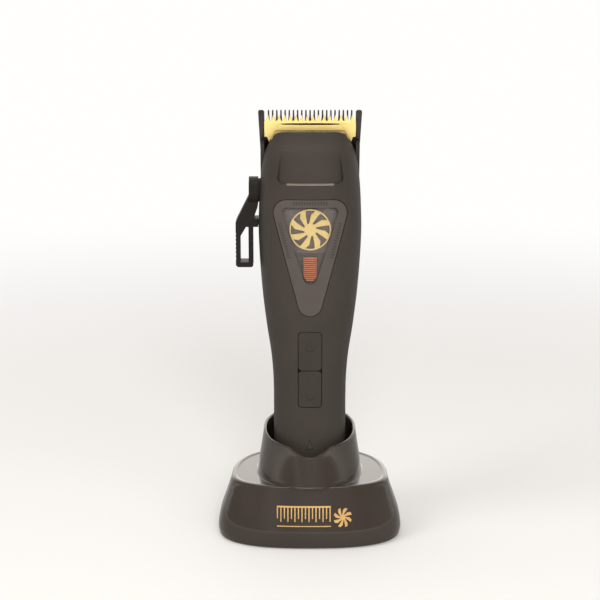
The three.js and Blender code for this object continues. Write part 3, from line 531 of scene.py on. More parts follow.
# The charging stand, in millimetres. Its well sits under the clipper's axis.
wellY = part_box("front_shell")[1].y / mm
stand = {"height": 28, "square": 2.6, "widestY": -9, "edge": 1.4, "footRound": 0.9,
         "cupWidth": 42.8, "cupDepth": 46, "cupFlare": 3.0, "wellFloor": 22,
         "half": 42.6, "front": 24.5, "back": 42.5}
contacts = {"x": 4.5, "y": 5, "radius": 2.5}
inlet = {"half": 4.8, "z": 8, "tall": 1.9}
standLean = profile([(0.25, 0.6), (4, 0), (10, 0.9), (16, 2.9), (22, 4.9), (28, 6.4)])


def standRing(z, inset):
    def at(angle):
        side = math.sin(angle)
        reach = stand["front" if side < 0 else "back"] - inset
        return ((stand["half"] - inset) * signed(math.cos(angle), stand["square"]),
                stand["widestY"] + reach * signed(side, stand["square"]), z)
    return at


rimRise = profile([(0, 13), (0.033, 13.5), (0.086, 15.5), (0.142, 17.5), (0.209, 18.2), (0.317, 18.8),
                   (0.403, 19.8), (0.5, 20.8), (0.727, 22.4), (1, 23.6)])


def rimZ(angle):
    fromFront = abs((angle + math.pi * 1.5) % math.tau - math.pi) / math.pi
    return stand["height"] + rimRise(fromFront)


def cupRing(z, grow, square=2.2):
    def at(angle):
        height = z(angle) if callable(z) else z
        return ((stand["cupWidth"] / 2 + grow) * signed(math.cos(angle), square),
                wellY + (stand["cupDepth"] / 2 + grow) * signed(math.sin(angle), square), height)
    return at


def buildStand():
    height = stand["height"]
    rings = []
    for step in range(7):  # rounded tuck at the floor
        turn = math.radians(90 * step / 6)
        z = 0.25 + stand["footRound"] * (1 - math.cos(turn))
        rings.append(standRing(z, standLean(z) + stand["footRound"] * (1 - math.sin(turn))))
    for step in range(1, 22):
        z = 1.15 + (height - stand["edge"] - 1.15) * step / 21
        rings.append(standRing(z, standLean(z)))
    topLean = standLean(height - stand["edge"])
    for step in range(1, 8):  # fillet along the top edge
        turn = math.radians(80 * step / 7)
        rings.append(standRing(height - stand["edge"] + stand["edge"] * math.sin(turn),
                               topLean + stand["edge"] * (1 - math.cos(turn)) * 1.25))
    inner = topLean + stand["edge"] * 1.25
    for inset, drop in ((0.35, 0.02), (0.8, 0.32), (1.25, 0.36), (1.6, 0.36), (3, 0.36), (6, 0.36)):
        rings.append(standRing(height - drop, inner + inset))
    base = loft("standBase", rings, 160)

    rings = [cupRing(height - 1.2, stand["cupFlare"] + 0.9)]
    for step in range(1, 6):  # small cove where the cup meets the plate
        turn = math.radians(90 * step / 5)
        rings.append(cupRing(height - 0.36 + 1.5 * (1 - math.cos(turn)),
                             stand["cupFlare"] + 0.9 * (1 - math.sin(turn)) - 0.1 * step / 5))
    for step in range(1, 13):
        share = step / 13
        rings.append(cupRing(lambda a, s=share: height + 1.14 + s * (rimZ(a) - 0.7 - height - 1.14),
                             (stand["cupFlare"] - 0.1) * (1 - share) ** 1.15))
    for step in range(0, 7):
        turn = math.radians(180 * step / 6)
        rings.append(cupRing(lambda a, t=turn: rimZ(a) - 0.7 + 0.7 * math.sin(t), -0.7 + 0.7 * math.cos(turn)))
    rings.append(cupRing(lambda a: rimZ(a) - 3, -2.2))
    rings.append(cupRing(height + 6, -2.5))
    rings.append(cupRing(stand["wellFloor"] + 1.2, -2.5))
    rings.append(cupRing(stand["wellFloor"], -3.7))
    cup = loft("standCup", rings, 160)
    hollow = loft("hollow", [standRing(z, standLean(z) + 2.4) for z in (-1, 3, 8, 14, 18)], 64)
    cut(base, hollow)
    well = loft("well", [cupRing(z, -2.5) for z in (stand["wellFloor"] + 1, height + 5)], 64)
    cut(base, well)
    for side in (-1, 1):
        place = (side * contacts["x"], wellY + contacts["y"])
        for piece in (base, cup):
            cut(piece, rod("bore", contacts["radius"], "z", 10, 27, place, 24))
    low, high = inlet["z"] - inlet["tall"], inlet["z"] + inlet["tall"]
    cut(base, block("inletHole", (-inlet["half"], 20, low), (inlet["half"], 40, high), 0.8))
    finish(base, "stand_base", "stand", "glossBlack", ["stand_housing"])
    finish(cup, "stand_cup", "stand", "glossBlack")


buildStand()
print("stand ready")


# The clipper's casing in its own frame: its tail at z = 0 and its split line at y = 0.
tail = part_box("front_shell")[0].z / mm
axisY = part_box("front_shell")[1].y / mm
length = (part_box("front_shell")[1].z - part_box("front_shell")[0].z) / mm
clipperPlace = Matrix.Translation((0, axisY * mm, tail * mm))
casing = {"width": 46.4, "front": 20.2, "rear": 19.2, "wall": 2.4, "tailRound": 6, "square": 2.7}
head = {"y": 7.2, "z": length - 21.2, "tilt": 12, "lidClearance": 6.3}
headPlace = (clipperPlace @ Matrix.Translation((0, head["y"] * mm, head["z"] * mm))
             @ Matrix.Rotation(math.radians(head["tilt"]), 4, "X"))

sideShare = profile([(0, 0.7), (0.085, 0.72), (0.29, 0.72), (0.375, 0.76), (0.47, 0.858), (0.58, 0.944),
                     (0.715, 1), (0.795, 0.99), (0.867, 0.958), (0.934, 0.89), (1, 0.76)])
frontShare = profile([(0, 0.8), (0.085, 0.84), (0.3, 0.86), (0.48, 0.91), (0.715, 1), (0.81, 0.97),
                      (0.873, 0.87), (0.935, 0.64), (1, 0.32)])
rearShare = profile([(0, 0.8), (0.085, 0.86), (0.3, 0.81), (0.51, 0.875), (0.69, 1), (0.785, 0.94),
                     (0.867, 0.69), (0.935, 0.57), (1, 0.52)])
# Where the face turns to the sides, and how much the facet there takes off.
ridgeX = profile([(0.7, 19.2), (0.83, 17.4), (0.9, 15.0), (0.96, 13.4), (1, 12.6)])
ridgeCut = profile([(0.72, -2.5), (0.8, -0.6), (0.86, 0.9), (0.93, 1.3), (1, 1.2)])
facetLean = math.radians(50)


def sizesAt(z, inset):
    share = z / length
    low = max(0, 1 - (z - inset) / casing["tailRound"])
    tuck = 0.48 * casing["tailRound"] * (1 - math.sqrt(max(0, 1 - low * low)))
    return (casing["width"] / 2 * sideShare(share) - inset - tuck, casing["front"] * frontShare(share) - inset - tuck,
            casing["rear"] * rearShare(share) - inset - tuck)


# Distance from the clipper's axis to its skin: a squarish oval with a facet to each side of the face.
def reachAt(angle, z, inset):
    side, front, rear = sizesAt(z, inset)
    across, along = math.cos(angle), math.sin(angle)
    power = casing["square"]
    oval = ((abs(across) / side) ** power + (abs(along) / (front if along < 0 else rear)) ** power) ** (-1 / power)
    share = z / length
    if along >= 0 or share < 0.7:
        return oval
    normal = math.sin(facetLean) * abs(across) - math.cos(facetLean) * along
    x = ridgeX(share) - inset * 0.4
    onOval = front * max(0, 1 - (x / side) ** power) ** (1 / power)
    facet = (math.sin(facetLean) * x + math.cos(facetLean) * onOval - ridgeCut(share) + 2.2) / max(normal, 0.01)
    blend = 22
    return (oval ** -blend + facet ** -blend) ** (-1 / blend)


def casingRing(z, inset):
    def at(angle):
        squared = math.atan2(signed(math.sin(angle), 2.3), signed(math.cos(angle), 2.3))
        reach = reachAt(squared, z, inset)
        return (reach * math.cos(squared), reach * math.sin(squared), z)
    return at


def casingLoft(name, inset, around=128, rows=64):
    curve = casing["tailRound"]
    heights = [inset + curve * (1 - math.cos(math.radians(90 * i / 9))) for i in range(1, 9)]
    heights = [inset] + [h * 0.9 + inset * 0.1 for h in heights] + [curve + inset]
    start = heights[-1]
    heights += [start + (length + 1.5 - start) * i / rows for i in range(1, rows + 1)]
    return loft(name, [casingRing(z, inset) for z in heights], around)


# The skin's own y on the face (or back) at a place seen from the front.
def skinY(x, z, inset=0.0, back=False):
    low, high = 0.0, 40.0
    for _ in range(40):
        y = (low + high) / 2
        angle = math.atan2(y if back else -y, x)
        if math.hypot(x, y) < reachAt(angle, z, inset):
            low = y
        else:
            high = y
    return low if back else -low


bezel = {"halfTop": 10.2, "topZ": 131.2, "topR": 6.3, "bottomZ": 89.7, "bottomR": 5.6}
window = {"halfTop": 10.4, "topZ": 131.9, "topR": 2, "bottomZ": 102.4, "bottomR": 3.1}
bezelThickness = 1.2
buttons = {"half": 5.5, "bottom": 40.8, "split": 58.4, "top": 77.0}
lever = {"z": 138.3, "hub": 5.3, "hubThick": 4.1, "depth": 8, "flare": 6.1, "reach": 34.8, "slot": 16.2, "bar": 2,
         "grips": 7, "gripPitch": 1.9}
mark = {"low": 20.6, "high": 25.4, "half": 1.7}


def roundedTriangle(shape, inset=0.0, steps=14):
    run = math.hypot(shape["halfTop"], shape["topZ"] - shape["bottomZ"])
    lean = math.acos((shape["bottomR"] - shape["topR"]) / run)
    turn = math.atan2(shape["topZ"] - shape["bottomZ"], shape["halfTop"]) - lean
    top, bottom = shape["topR"] - inset, shape["bottomR"] - inset
    return (arc(shape["halfTop"], shape["topZ"], top, math.pi / 2, turn, steps)
            + arc(0, shape["bottomZ"], bottom, turn, -math.pi - turn, steps + 6)
            + arc(-shape["halfTop"], shape["topZ"], top, math.pi - turn, math.pi / 2, steps))


def roundedBox(half, low, high, radius, inset=0.0, steps=8):
    x, z0, z1, r = half - inset, low + inset, high - inset, radius
    return (arc(x - r, z1 - r, r, math.pi / 2, 0, steps) + arc(x - r, z0 + r, r, 0, -math.pi / 2, steps)
            + arc(-x + r, z0 + r, r, -math.pi / 2, -math.pi, steps)
            + arc(-x + r, z1 - r, r, math.pi, math.pi / 2, steps))


# An outline seen from the front, carried through the whole face.
def faceSlab(name, points):
    return slab(name, points, -farOut, -2)


# The layer between two depths under the skin, cut to an outline seen from the front.
def faceLayer(name, points, outer, inner, rows=64):
    piece = faceSlab(name, points)
    common(piece, casingLoft("outerSkin", outer, 128, rows))
    return cut(piece, casingLoft("innerSkin", inner, 128, rows))


def lidArch():
    edge, crown = length - 4.8, length - 0.75
    w = casing["width"]
    points = [(-farOut, -5), (farOut, -5), (farOut, edge), (w * 0.415, edge)]
    for i in range(1, 13):  # the lid's shoulder, a quarter curve
        t = i / 12
        points.append(((1 - t) ** 2 * w * 0.415 + 2 * t * (1 - t) * w * 0.34 + t * t * w * 0.23,
                       (1 - t) ** 2 * edge + 2 * t * (1 - t) * (crown - 0.1) + t * t * crown))
    points += [(-x, z) for x, z in reversed(points[3:])] + [(-farOut, edge)]
    return slab("lidArch", points, -farOut, farOut)


def headRoom():
    piece = block("headRoom", (-farOut, -head["lidClearance"], -0.3), (farOut, farOut, farOut))
    return settle(piece, clipperPlace.inverted() @ headPlace)


caseScrews = ((-12, 81), (12, 81), (-9.5, 9), (9.5, 9))
port = {"half": 4.8, "front": -8.4, "back": -4.6, "depth": 9}
grip = {"rows": 9, "start": 38, "pitch": 4.2, "width": 1.3, "half": 8.5, "depth": 0.45}  # low on the back
panel = {"low": length - 22.0, "high": length - 5.0, "halfLow": 14.6, "halfHigh": 12.4, "corner": 2.4}


def hollowCasing(name, y0, y1):
    piece = common(casingLoft(name, 0), block("half", (-farOut, y0, -5), (farOut, y1, length + 5)))
    cut(piece, casingLoft("inside", casing["wall"], 96, 40))
    common(piece, lidArch())
    cut(piece, headRoom())
    cut(piece, rod("axleHole", 2.9, "x", -40, -10, (0, lever["z"]), 40))
    seat = -casing["width"] / 2 + 1.1
    return cut(piece, rod("leverSeat", lever["hub"] + 0.3, "x", -40, seat, (0, lever["z"]), 64))


# A hollow under the lid's crown: deepest at its lower lip, running out towards the blades.
def panelRecess():
    low, high, corner = panel["low"], panel["high"], panel["corner"]
    depthAt = profile([(low, 1.35), (low + 4, 1.2), (high, -0.15)])
    right = arc(panel["halfLow"] - corner, low + corner, corner, -math.pi / 2, -0.1, 8) + [(panel["halfHigh"], high)]
    piece = faceSlab("panelRecess", (right + [(-x, z) for x, z in right[::-1]])[::-1])
    heights = [low - 2 + 0.7 * i for i in range(32)]
    return cut(piece, loft("panelFloor", [casingRing(z, depthAt(z)) for z in heights], 128))


def buildFrontShell():
    shell = hollowCasing("frontShell", -farOut, -0.03)
    pocket = faceSlab("pocket", roundedTriangle(bezel))
    cut(pocket, casingLoft("pocketFloor", bezelThickness + 0.3, 96, 40))
    cut(shell, pocket)
    cut(shell, faceSlab("through", roundedTriangle(bezel, 1.5)))
    cut(shell, panelRecess())
    cut(shell, faceSlab("buttonHole", roundedBox(buttons["half"], buttons["bottom"], buttons["top"], 2)))
    cut(shell, faceSlab("markHole", [(-mark["half"], mark["low"]), (mark["half"], mark["low"]), (0, mark["high"])]))
    cut(shell, block("portHole", (-port["half"], port["front"], -2), (port["half"], port["back"], port["depth"])))
    soften(shell, 0.22, 2, 38)
    return settle(shell, clipperPlace)


def buildRearShell():
    shell = hollowCasing("rearShell", 0.03, farOut)
    for x, z in caseScrews:
        seat = skinY(x, z, 0, True)
        boss = common(rod("boss", 3.4, "y", 0.5, 30, (x, z), 32), casingLoft("bossLimit", 1, 96, 40))
        combine(shell, boss)
        cut(shell, rod("screwWell", 3.0, "y", seat - 3, 40, (x, z), 40))
    for side in (-1, 1):
        cut(shell, rod("contactHole", contacts["radius"], "z", -2, 6, (side * contacts["x"], contacts["y"]), 32))
    for row in range(grip["rows"]):
        z = grip["start"] + row * grip["pitch"]
        groove = slab("groove", roundedBox(grip["half"], z, z + grip["width"], 0.6), 5, farOut)
        cut(groove, casingLoft("grooveFloor", grip["depth"], 96, 40))
        cut(shell, groove)
    soften(shell, 0.2, 2, 38)
    return settle(shell, clipperPlace)


finish(buildFrontShell(), "front_casing", "clipper", "frontBlack", ["front_shell"])
print("front casing ready")
finish(buildRearShell(), "rear_casing", "clipper", "softBlack", ["rear_shell"])
print("rear casing ready")


# Short printed marks in rows of 13 over and beside the window, and one of 15 on the lid.
marksAt = {"pitch": 1.2, "topZ": 135.75, "lidZ": length - 3.7, "sideX": 13.4, "sideZ": 126.5, "sidePitch": 1.25,
           "slope": 0.263, "lean": 14.7}


# Each mark is (x, z, turn, half width, half height).
def buildMarks():
    pitch, down, lean = marksAt["pitch"], marksAt["sidePitch"], math.radians(marksAt["lean"])
    spots = [(-6 * pitch + pitch * i, marksAt["topZ"], 0, 0.27, 0.8) for i in range(13)]
    for side in (-1, 1):
        spots += [(side * (marksAt["sideX"] - marksAt["slope"] * down * i), marksAt["sideZ"] - down * i, side * lean,
                   0.75, 0.27) for i in range(13)]
    spots += [(-7 * pitch + pitch * i, marksAt["lidZ"], 0, 0.34, 0.45) for i in range(15)]
    marks = []
    for x, z, turn, half, high in spots:
        tick = block("tick", (-half, -farOut, -high), (half, -2, high))
        marks.append(settle(tick, Matrix.Translation((x * mm, 0, z * mm)) @ Matrix.Rotation(turn, 4, "Y")))
    ticks = common(join(marks, "ticks"), casingLoft("tickTop", -0.02, 128, 64))
    return settle(cut(ticks, casingLoft("tickFloor", 0.3, 96, 40)), clipperPlace)


def buildBezel():
    piece = faceLayer("bezel", roundedTriangle(bezel, 0.3, 22), 0, bezelThickness)
    cut(piece, faceSlab("opening", roundedTriangle(window)))
    soften(piece, 0.3, 3, 40)
    return settle(piece, clipperPlace)


def buildTray():
    piece = faceLayer("tray", roundedTriangle(bezel, 0.9), casing["wall"] + 0.3, casing["wall"] + 1.5)
    well = faceSlab("well", [(-7.9, 113.2), (7.9, 113.2), (4.1, 99.6), (0, 97.8), (-4.1, 99.6)])
    cut(well, casingLoft("wellFloor", casing["wall"] + 0.85, 96, 40))
    cut(piece, well)
    soften(piece, 0.12, 2, 40)
    return settle(piece, clipperPlace)


# Swept vanes around a hub, as one outline.
def vaneOutline(x, z, hub, reach, count, width, sweep):
    points = []
    for i in range(count):
        base = math.tau * i / count
        middle = hub + 0.68 * (reach - hub)
        edge = ((hub, 0, -0.5), (middle, 0.66, -0.42), (reach, 1, -0.26), (reach, 1, 0.26), (middle, 0.66, 0.42),
                (hub, 0, 0.5))
        for radius, along, across in edge:
            turn = base + sweep * along + width * across
            points.append((x + radius * math.sin(turn), z + radius * math.cos(turn)))
    return points


badge = {"radius": 9.2, "z": 133.9 - 9.2 - 0.9}


def buildRosette():
    z, radius = badge["z"], badge["radius"]
    under = bezelThickness + 0.3
    rim = rod("rim", radius, "y", -farOut, -2, (0, z), 96)
    cut(rim, rod("rimHole", radius - 0.6, "y", -farOut - 1, -1, (0, z), 96))
    vanes = faceSlab("vanes", vaneOutline(0, z, 2.3, radius - 0.3, 8, 0.52, 0.42))
    combine(vanes, rim)
    common(vanes, casingLoft("badgeTop", under, 96, 40))
    cut(vanes, casingLoft("badgeFloor", under + 0.85, 96, 40))
    soften(vanes, 0.2, 2, 40)
    hub = rod("hub", 2.9, "y", skinY(0, z) + under + 0.02, skinY(0, z) + under + 0.85, (0, z), 48, 0.3)
    return settle(join([vanes, hub], "badge"), clipperPlace)


coil = {"low": 100.2, "high": 111.4, "half": 3.0, "corner": 2.5, "turns": 12, "wire": 0.375}


def buildCoil():
    low, half, corner = coil["low"], coil["half"], coil["corner"]
    pitch = (coil["high"] - low) / coil["turns"]
    wires = []
    for i in range(coil["turns"]):
        z = low + pitch * (i + 0.5)
        below = low + corner - z
        reach = half if below < 0 else half - corner + math.sqrt(max(0.2, corner ** 2 - below ** 2))
        y = skinY(0, z) + bezelThickness + 0.3 + 0.46
        wires.append(rod("turn", coil["wire"], "x", -reach, reach, (y, z), 20, 0.2))
    return settle(join(wires, "coil"), clipperPlace)


def buildButton(name, low, high, icon):
    piece = faceLayer(name, roundedBox(buttons["half"], low, high, 1.7, 0.3), 0.15, 3.6)
    soften(piece, 0.4, 4, 40)
    flange = roundedBox(buttons["half"] + 1, low + 0.4, high - 0.4, 1.7)
    combine(piece, faceLayer("flange", flange, casing["wall"] + 0.3, 3.6, 40))
    for outline in icon:
        cut(piece, cut(faceSlab("icon", outline), casingLoft("iconFloor", 0.36, 96, 40)))
    return settle(piece, clipperPlace)


def arcBand(x, z, radius, half, start, end):
    return arc(x, z, radius + half, start, end, 24) + arc(x, z, radius - half, end, start, 24)


powerIcon = [arcBand(0.2, 69.6, 1.9, 0.24, math.radians(60), math.radians(-240)),
             [(-0.04, 69.9), (-0.04, 72.2), (0.44, 72.2), (0.44, 69.9)]]
speedIcon = [arcBand(0.2, 46.4, 1.9, 0.24, math.radians(-10), math.radians(-170)),
             [(-1.7, 46.8), (-1.7, 47.2), (-0.6, 47.2), (-0.6, 46.8)]]


def buildMark():
    high, low, half = mark["high"], mark["low"], mark["half"]
    outline = [(-half + 0.2, low + 0.15), (0, high - 0.4), (half - 0.2, low + 0.15)]
    piece = faceLayer("mark", outline, 0.1, casing["wall"], 40)
    soften(piece, 0.1, 2, 40)
    return settle(piece, clipperPlace)


finish(buildBezel(), "bezel_plate", "clipper", "greyPanel", ["window_bezel"], 40)
finish(buildMarks(), "plate_marks", "clipper", "darkPrint", (), 30, False)
lens = faceLayer("lens", roundedTriangle(window, 0.1, 20), 0.12, bezelThickness)
soften(lens, 0.15, 2, 40)
finish(settle(lens, clipperPlace), "lens_pane", "clipper", "clearLens", ["window_lens"])
finish(buildTray(), "tray_plate", "clipper", "greyTray", ["window_tray"])
finish(buildRosette(), "gold_badge", "clipper", "badgeGold", ["rosette"])
finish(buildCoil(), "copper_coil", "clipper", "wire", ["motor_coil"], 60)
print("window ready")
keys = {"power": (buttons["split"] - 0.15, buttons["top"], powerIcon),
        "speed": (buttons["bottom"], buttons["split"] + 0.15, speedIcon)}
for key, sizes in keys.items():
    finish(buildButton(key + "Button", *sizes), key + "_key_cap", key + "_key", "keyBlack", [key + "_button"], 40)
finish(buildMark(), "status_mark", "clipper", "lightGuide", ["status_lens"], 40)
print("buttons ready")


# The head: measures in its own tilted frame, teeth upwards.
blade = {"half": 23.2, "top": 30, "thick": 2.4, "rail": 2.8, "teeth": 21, "root": 24.0}
frameHalf, plateTop, cheekInner, cheekTop = 22.2, 8.6, 20.5, 16.2
screwX, screwZ = 10, 4.6
cutter = {"front": -1.6, "rib": 1.0, "half": 20.4, "neck": 17.7, "tip": 27.9, "root": 25.3, "teeth": 16,
          "shoulder": 18.3, "ribLow": 21.4, "heel": 10.5, "grooveZ": 24.35, "grooveHalf": 13.2}
cutterFace = cutter["front"] - cutter["rib"]
# The cutter's groove floor is darkened with painted shade.
looks["cutterGold"] = metalMaterial("gold_coating", (1.0, 0.76, 0.28), 0.48, (0.06, 1, 1), 1.2, 0.05, metallic=0.2,
                                    groove=(headPlace, (cutterFace + 0.12) * mm, cutter["grooveZ"] * mm, 0.0006))


def combOutline(count, pitch, low, root, tip, rootHalf, tipHalf, half):
    points = [(-half, low), (half, low), (half, root)]
    for i in range(count):
        x = pitch * ((count - 1) / 2 - i)
        points += [(x + rootHalf, root), (x + (rootHalf + tipHalf) / 2.4, (root + tip) / 2), (x + tipHalf, tip - 0.4),
                   (x + tipHalf * 0.6, tip), (x - tipHalf * 0.6, tip), (x - tipHalf, tip - 0.4),
                   (x - (rootHalf + tipHalf) / 2.4, (root + tip) / 2), (x - rootHalf, root)]
    return points + [(-half, root)]


def buildFixedBlade():
    inner = blade["half"] - blade["rail"]
    pitch = 2 * inner / (blade["teeth"] + 1)
    piece = slab("comb", combOutline(blade["teeth"], pitch, 0, blade["root"], blade["top"], 0.6, 0.34, inner + 0.4),
                 0, blade["thick"])
    for side in (-1, 1):
        rail = [(inner, 21), (inner, 29.3), (inner + 0.7, 30), (22.3, 30), (22.9, 29.8), (23.2, 29.1),
                (frameHalf, plateTop), (frameHalf, 0), (inner - 4, 0), (inner - 4, 21)]
        combine(piece, slab("rail", [(side * x, z) for x, z in rail][::side], 0, blade["thick"]))
        cut(piece, rod("screwHole", 1.6, "y", -1, 5, (side * screwX, screwZ), 32))
        cut(piece, rod("screwSeat", 3.0, "y", 0.9, 5, (side * screwX, screwZ), 40))
    grind = block("grind", (-40, 0, 0), (40, 4, 14))
    settle(grind, Matrix.Translation((0, blade["thick"] * mm, 22 * mm)) @ Matrix.Rotation(math.atan2(1.7, 8), 4, "X"))
    cut(piece, grind)
    soften(piece, 0.12, 2, 30)
    return settle(piece, headPlace)


def buildCutter():
    front, half, neck = cutter["front"], cutter["half"], cutter["neck"]
    pitch = (2 * half - 0.6) / cutter["teeth"]
    piece = slab("cutterComb", combOutline(cutter["teeth"], pitch, cutter["shoulder"], cutter["root"], cutter["tip"],
                                           pitch * 0.35, pitch * 0.12, half), front, -0.3)
    combine(piece, block("neck", (-neck, front, cutter["heel"]), (neck, -0.3, cutter["ribLow"])))
    ribLow, root = cutter["ribLow"], cutter["root"] - 0.2
    leg = [(half, root), (half, cutter["shoulder"] + 0.2), (19.2, cutter["shoulder"]), (18.3, 15.9), (17.5, 18.2),
           (15.3, ribLow)]
    outline = leg + [(-x, z) for x, z in leg[::-1]]
    combine(piece, slab("rib", outline, front - cutter["rib"], front + 0.2))
    middle, long, thin = cutter["grooveZ"], cutter["grooveHalf"], 0.42
    sweep = [(long * math.cos(math.pi * i / 24), thin * math.sin(math.pi * i / 24) ** 0.6) for i in range(25)]
    lens = [(x, middle + rise) for x, rise in sweep] + [(x, middle - rise) for x, rise in sweep[-2:0:-1]]
    cut(piece, slab("groove", lens, front - 5, front - cutter["rib"] + 1.4))
    soften(piece, 0.16, 2, 30)
    return settle(piece, headPlace)


def buildHeadFrame():
    right = [(15, -8), (15, 0), (frameHalf, 0), (frameHalf, plateTop)]
    piece = slab("frame", [(-15, -8)] + right + [(-x, z) for x, z in right[:0:-1]], -2.4, -0.3)
    for side in (-1, 1):
        low, high = sorted((side * cheekInner, side * frameHalf))
        combine(piece, block("cheek", (low, -6.0, 0), (high, -0.3, cheekTop)))
        cut(piece, rod("screwHole", 1.35, "y", -10, 10, (side * screwX, screwZ), 24))
    soften(piece, 0.5, 4, 40)
    return settle(piece, headPlace)


finish(buildFixedBlade(), "comb_blade", "clipper", "blackSteel", ["fixed_blade"], 30, False)
finish(buildCutter(), "gold_cutter", "cutter", "cutterGold", ["cutter_blade"], 30, False)
finish(buildHeadFrame(), "blade_seat", "clipper", "seatBlack", ["head_frame"], 40)
print("head ready")


# The taper lever: a thumb loop hanging from a round hub.
def buildLever():
    inner = -casing["width"] / 2 - 0.15
    hubOuter, z = inner - lever["hubThick"], lever["z"]
    outer, low, cross, bar = hubOuter - lever["flare"], z - lever["reach"], z - lever["slot"], lever["bar"]
    innerBar = inner - 2.4
    points = [(hubOuter, z - 2), (outer + 0.5, z - 13.2), (outer, z - 14.4), (outer, low + 0.9), (outer + 0.9, low),
              (innerBar - 0.6, low), (innerBar, low + 0.6), (innerBar, cross), (inner, cross), (inner, cross + 3.8),
              (innerBar + 0.3, cross + 3.8), (inner - 0.2, z - 7.2), (inner, z - 2)]
    piece = slab("arm", points[::-1], -lever["depth"] / 2, lever["depth"] / 2)
    loop = [(outer + bar, low + bar + 0.3), (innerBar - bar, low + bar + 0.3), (innerBar - bar, cross),
            (innerBar - bar - 1.1, cross), (outer + bar, cross - 4.6)]
    cut(piece, slab("loop", loop[::-1], -20, 20))
    for row in range(lever["grips"]):  # on the outer edge
        cut(piece, rod("grip", 0.8, "y", -20, 20, (outer - 0.55, low + 4 + lever["gripPitch"] * row), 20))
    combine(piece, rod("hub", lever["hub"] + 0.9, "x", hubOuter, inner, (0, z), 72))
    combine(piece, rod("collar", lever["hub"], "x", inner - 0.5, inner + 0.6, (0, z), 72))
    cut(piece, rod("screwRoom", 3.0, "x", hubOuter - 1, hubOuter + 1.2, (0, z), 40))
    soften(piece, 0.5, 4, 35)
    return settle(piece, clipperPlace)


finish(buildLever(), "thumb_lever", "lever", "leverBlack", ["taper_lever"], 40)

seat = -casing["width"] / 2
washer = rod("washer", lever["hub"] + 0.15, "x", seat + 0.45, seat + 1.05, (0, lever["z"]), 64)
cut(washer, rod("washerBore", 2.8, "x", -30, -15, (0, lever["z"]), 40))
soften(washer, 0.12, 2, 40)
finish(settle(washer, clipperPlace), "lever_ring", "clipper", "leverBlack", ["lever_washer"], 40)


# A screw with a crossed recess, as large as its node and facing outwards along the axis.
def buildScrew(node, axis, outward, body, look="steel"):
    low, high = (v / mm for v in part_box(node))
    along = "xyz".index(axis)
    across = [i for i in range(3) if i != along]
    middle = [(low[i] + high[i]) / 2 for i in across]
    radius = (high[across[0]] - low[across[0]]) / 2
    face, foot = (high[along], low[along]) if outward > 0 else (low[along], high[along])
    seat = face - outward * 1.2
    piece = rod(node + "_head", radius, axis, *sorted((seat, face)), middle, 40, 0.25)
    for turn in (0, 1):
        size = [0, 0, 0]
        size[along] = 0.8
        size[across[turn]], size[across[1 - turn]] = radius * 0.62, 0.28
        spot = [0, 0, 0]
        spot[along], spot[across[0]], spot[across[1]] = face, *middle
        cut(piece, block("slot", [c - d for c, d in zip(spot, size)], [c + d for c, d in zip(spot, size)]))
    shank = rod("shank", 1.2, axis, *sorted((foot, seat + outward * 0.3)), middle, 24)
    finish(join([piece, shank], node + "_cross"), node + "_cross", body, look, [node], 40, False)


for number in range(1, 5):
    buildScrew("case_screw_" + str(number), "y", 1, "clipper")
    buildScrew("cover_screw_" + str(number), "z", -1, "stand")
buildScrew("lever_screw", "x", -1, "lever")
for side, label in ((-1, "left"), (1, "right")):
    x = side * screwX
    piece = rod("bladeScrew", 2.7, "y", 1.2, 2.3, (x, screwZ), 40, 0.2)
    for wide, tall in ((1.7, 0.28), (0.28, 1.7)):
        cut(piece, block("slot", (x - wide, 1.7, screwZ - tall), (x + wide, 4, screwZ + tall)))
    shank = rod("shank", 1.0, "y", -1.8, 1.4, (x, screwZ), 24)
    screw = settle(join([piece, shank], "bladeScrew"), headPlace)
    node = "blade_screw_" + label
    finish(screw, node + "_cross", "clipper", "steel", [node], 40, False)


def buildFoot(number):
    low, high = (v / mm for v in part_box("rubber_foot_" + str(number)))
    middle = [(low[i] + high[i]) / 2 for i in (0, 1)]
    piece = rod("foot", (high.x - low.x) / 2, "z", low.z, high.z, middle, 64, 0.25)
    for radius in (1.6, 3.0):
        ring = rod("ring", radius + 0.3, "z", low.z - 1, low.z + 0.25, middle, 48)
        cut(ring, rod("ringCore", radius - 0.3, "z", low.z - 2, low.z + 1, middle, 48))
        cut(piece, ring)
    finish(piece, "foot_pad_" + str(number), "stand", "rubber", ["rubber_foot_" + str(number)], 35)


for number in range(1, 5):
    buildFoot(number)
print("lever, screws and feet ready")


# Gold print on the stand's face: a comb beside a small rosette, lying on the curved front.
def standSkin(name, grow):
    return loft(name, [standRing(z, standLean(z) - grow) for z in range(4, 25)], 160)


stamp = {"left": -15, "right": 9.6, "spine": 19.0, "top": 19.7, "teeth": 16, "pitch": 1.6, "firstTooth": 9.2,
         "toothEnd": 12.9, "shorter": 1.3, "line": (10.8, 11.2), "rose": (15.0, 14.6)}


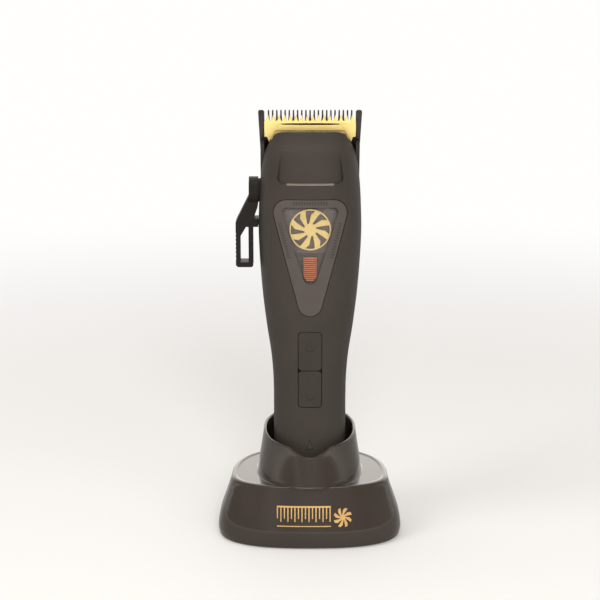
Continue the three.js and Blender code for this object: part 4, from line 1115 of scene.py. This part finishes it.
def buildPrint():
    left, right, spine, top = stamp["left"], stamp["right"], stamp["spine"], stamp["top"]
    comb = [(left, spine), (left, top), (right, top), (right, spine)]
    for i in range(stamp["teeth"]):  # every other tooth is shorter
        x = stamp["firstTooth"] - stamp["pitch"] * i
        reach = stamp["toothEnd"] + stamp["shorter"] * (i % 2)
        comb += [(x + 0.27, spine), (x + 0.22, reach), (x - 0.22, reach), (x - 0.27, spine)]
    motif = slab("printComb", comb[::-1], -farOut, -15)
    line = block("printLine", (left, -farOut, stamp["line"][0]), (right, -15, stamp["line"][1]))
    rose = slab("printRose", vaneOutline(*stamp["rose"], 1.2, 4.2, 8, 0.55, 0.4), -farOut, -15)
    piece = join([motif, line, rose], "print")
    common(piece, standSkin("printTop", 0.06))
    cut(piece, standSkin("printFloor", -0.15))
    return piece


finish(buildPrint(), "gold_print", "stand", "goldPrint", (), 30, False)
print("print ready")


# The CAD nodes: those that stay in sight, and those that the pieces above stand for.
nodeLooks = {
    "innerBlack": "stand_cover motor_cap drive_yoke cutter_carriage lever_cam power_switch speed_switch",
    "steel": """ballast_plate contact_barrel_left contact_barrel_right power_inlet charge_port motor_can bearing_lower
        bearing_upper motor_shaft eccentric tension_spring_left tension_spring_right blade_screw_left
        blade_screw_right lever_screw""",
    "gold": "contact_pin_left contact_pin_right charge_contact_left charge_contact_right cutter_blade rosette",
    "copper": "stator_winding motor_coil",
    "blackSteel": "fixed_blade motor_magnet",
    "softBlack": "head_frame power_button speed_button",
    "leverBlack": "taper_lever lever_washer",
    "greyPanel": "window_bezel window_tray",
    "clearLens": "window_lens",
    "lightGuide": "status_lens",
    "board": "charging_board main_board",
    "cellWrap": "battery_cell",
}
numbered = {"cover_screw_": "steel", "case_screw_": "steel", "rubber_foot_": "rubber"}  # four nodes of each
nodes = [(name, look) for look, names in nodeLooks.items() for name in names.split()]
nodes += [(start + str(number), look) for start, look in numbered.items() for number in range(1, 5)]
for name, look in nodes:
    node = bpy.data.objects[name]
    node.data.materials.clear()
    node.data.materials.append(looks[look])
print("CAD nodes ready")
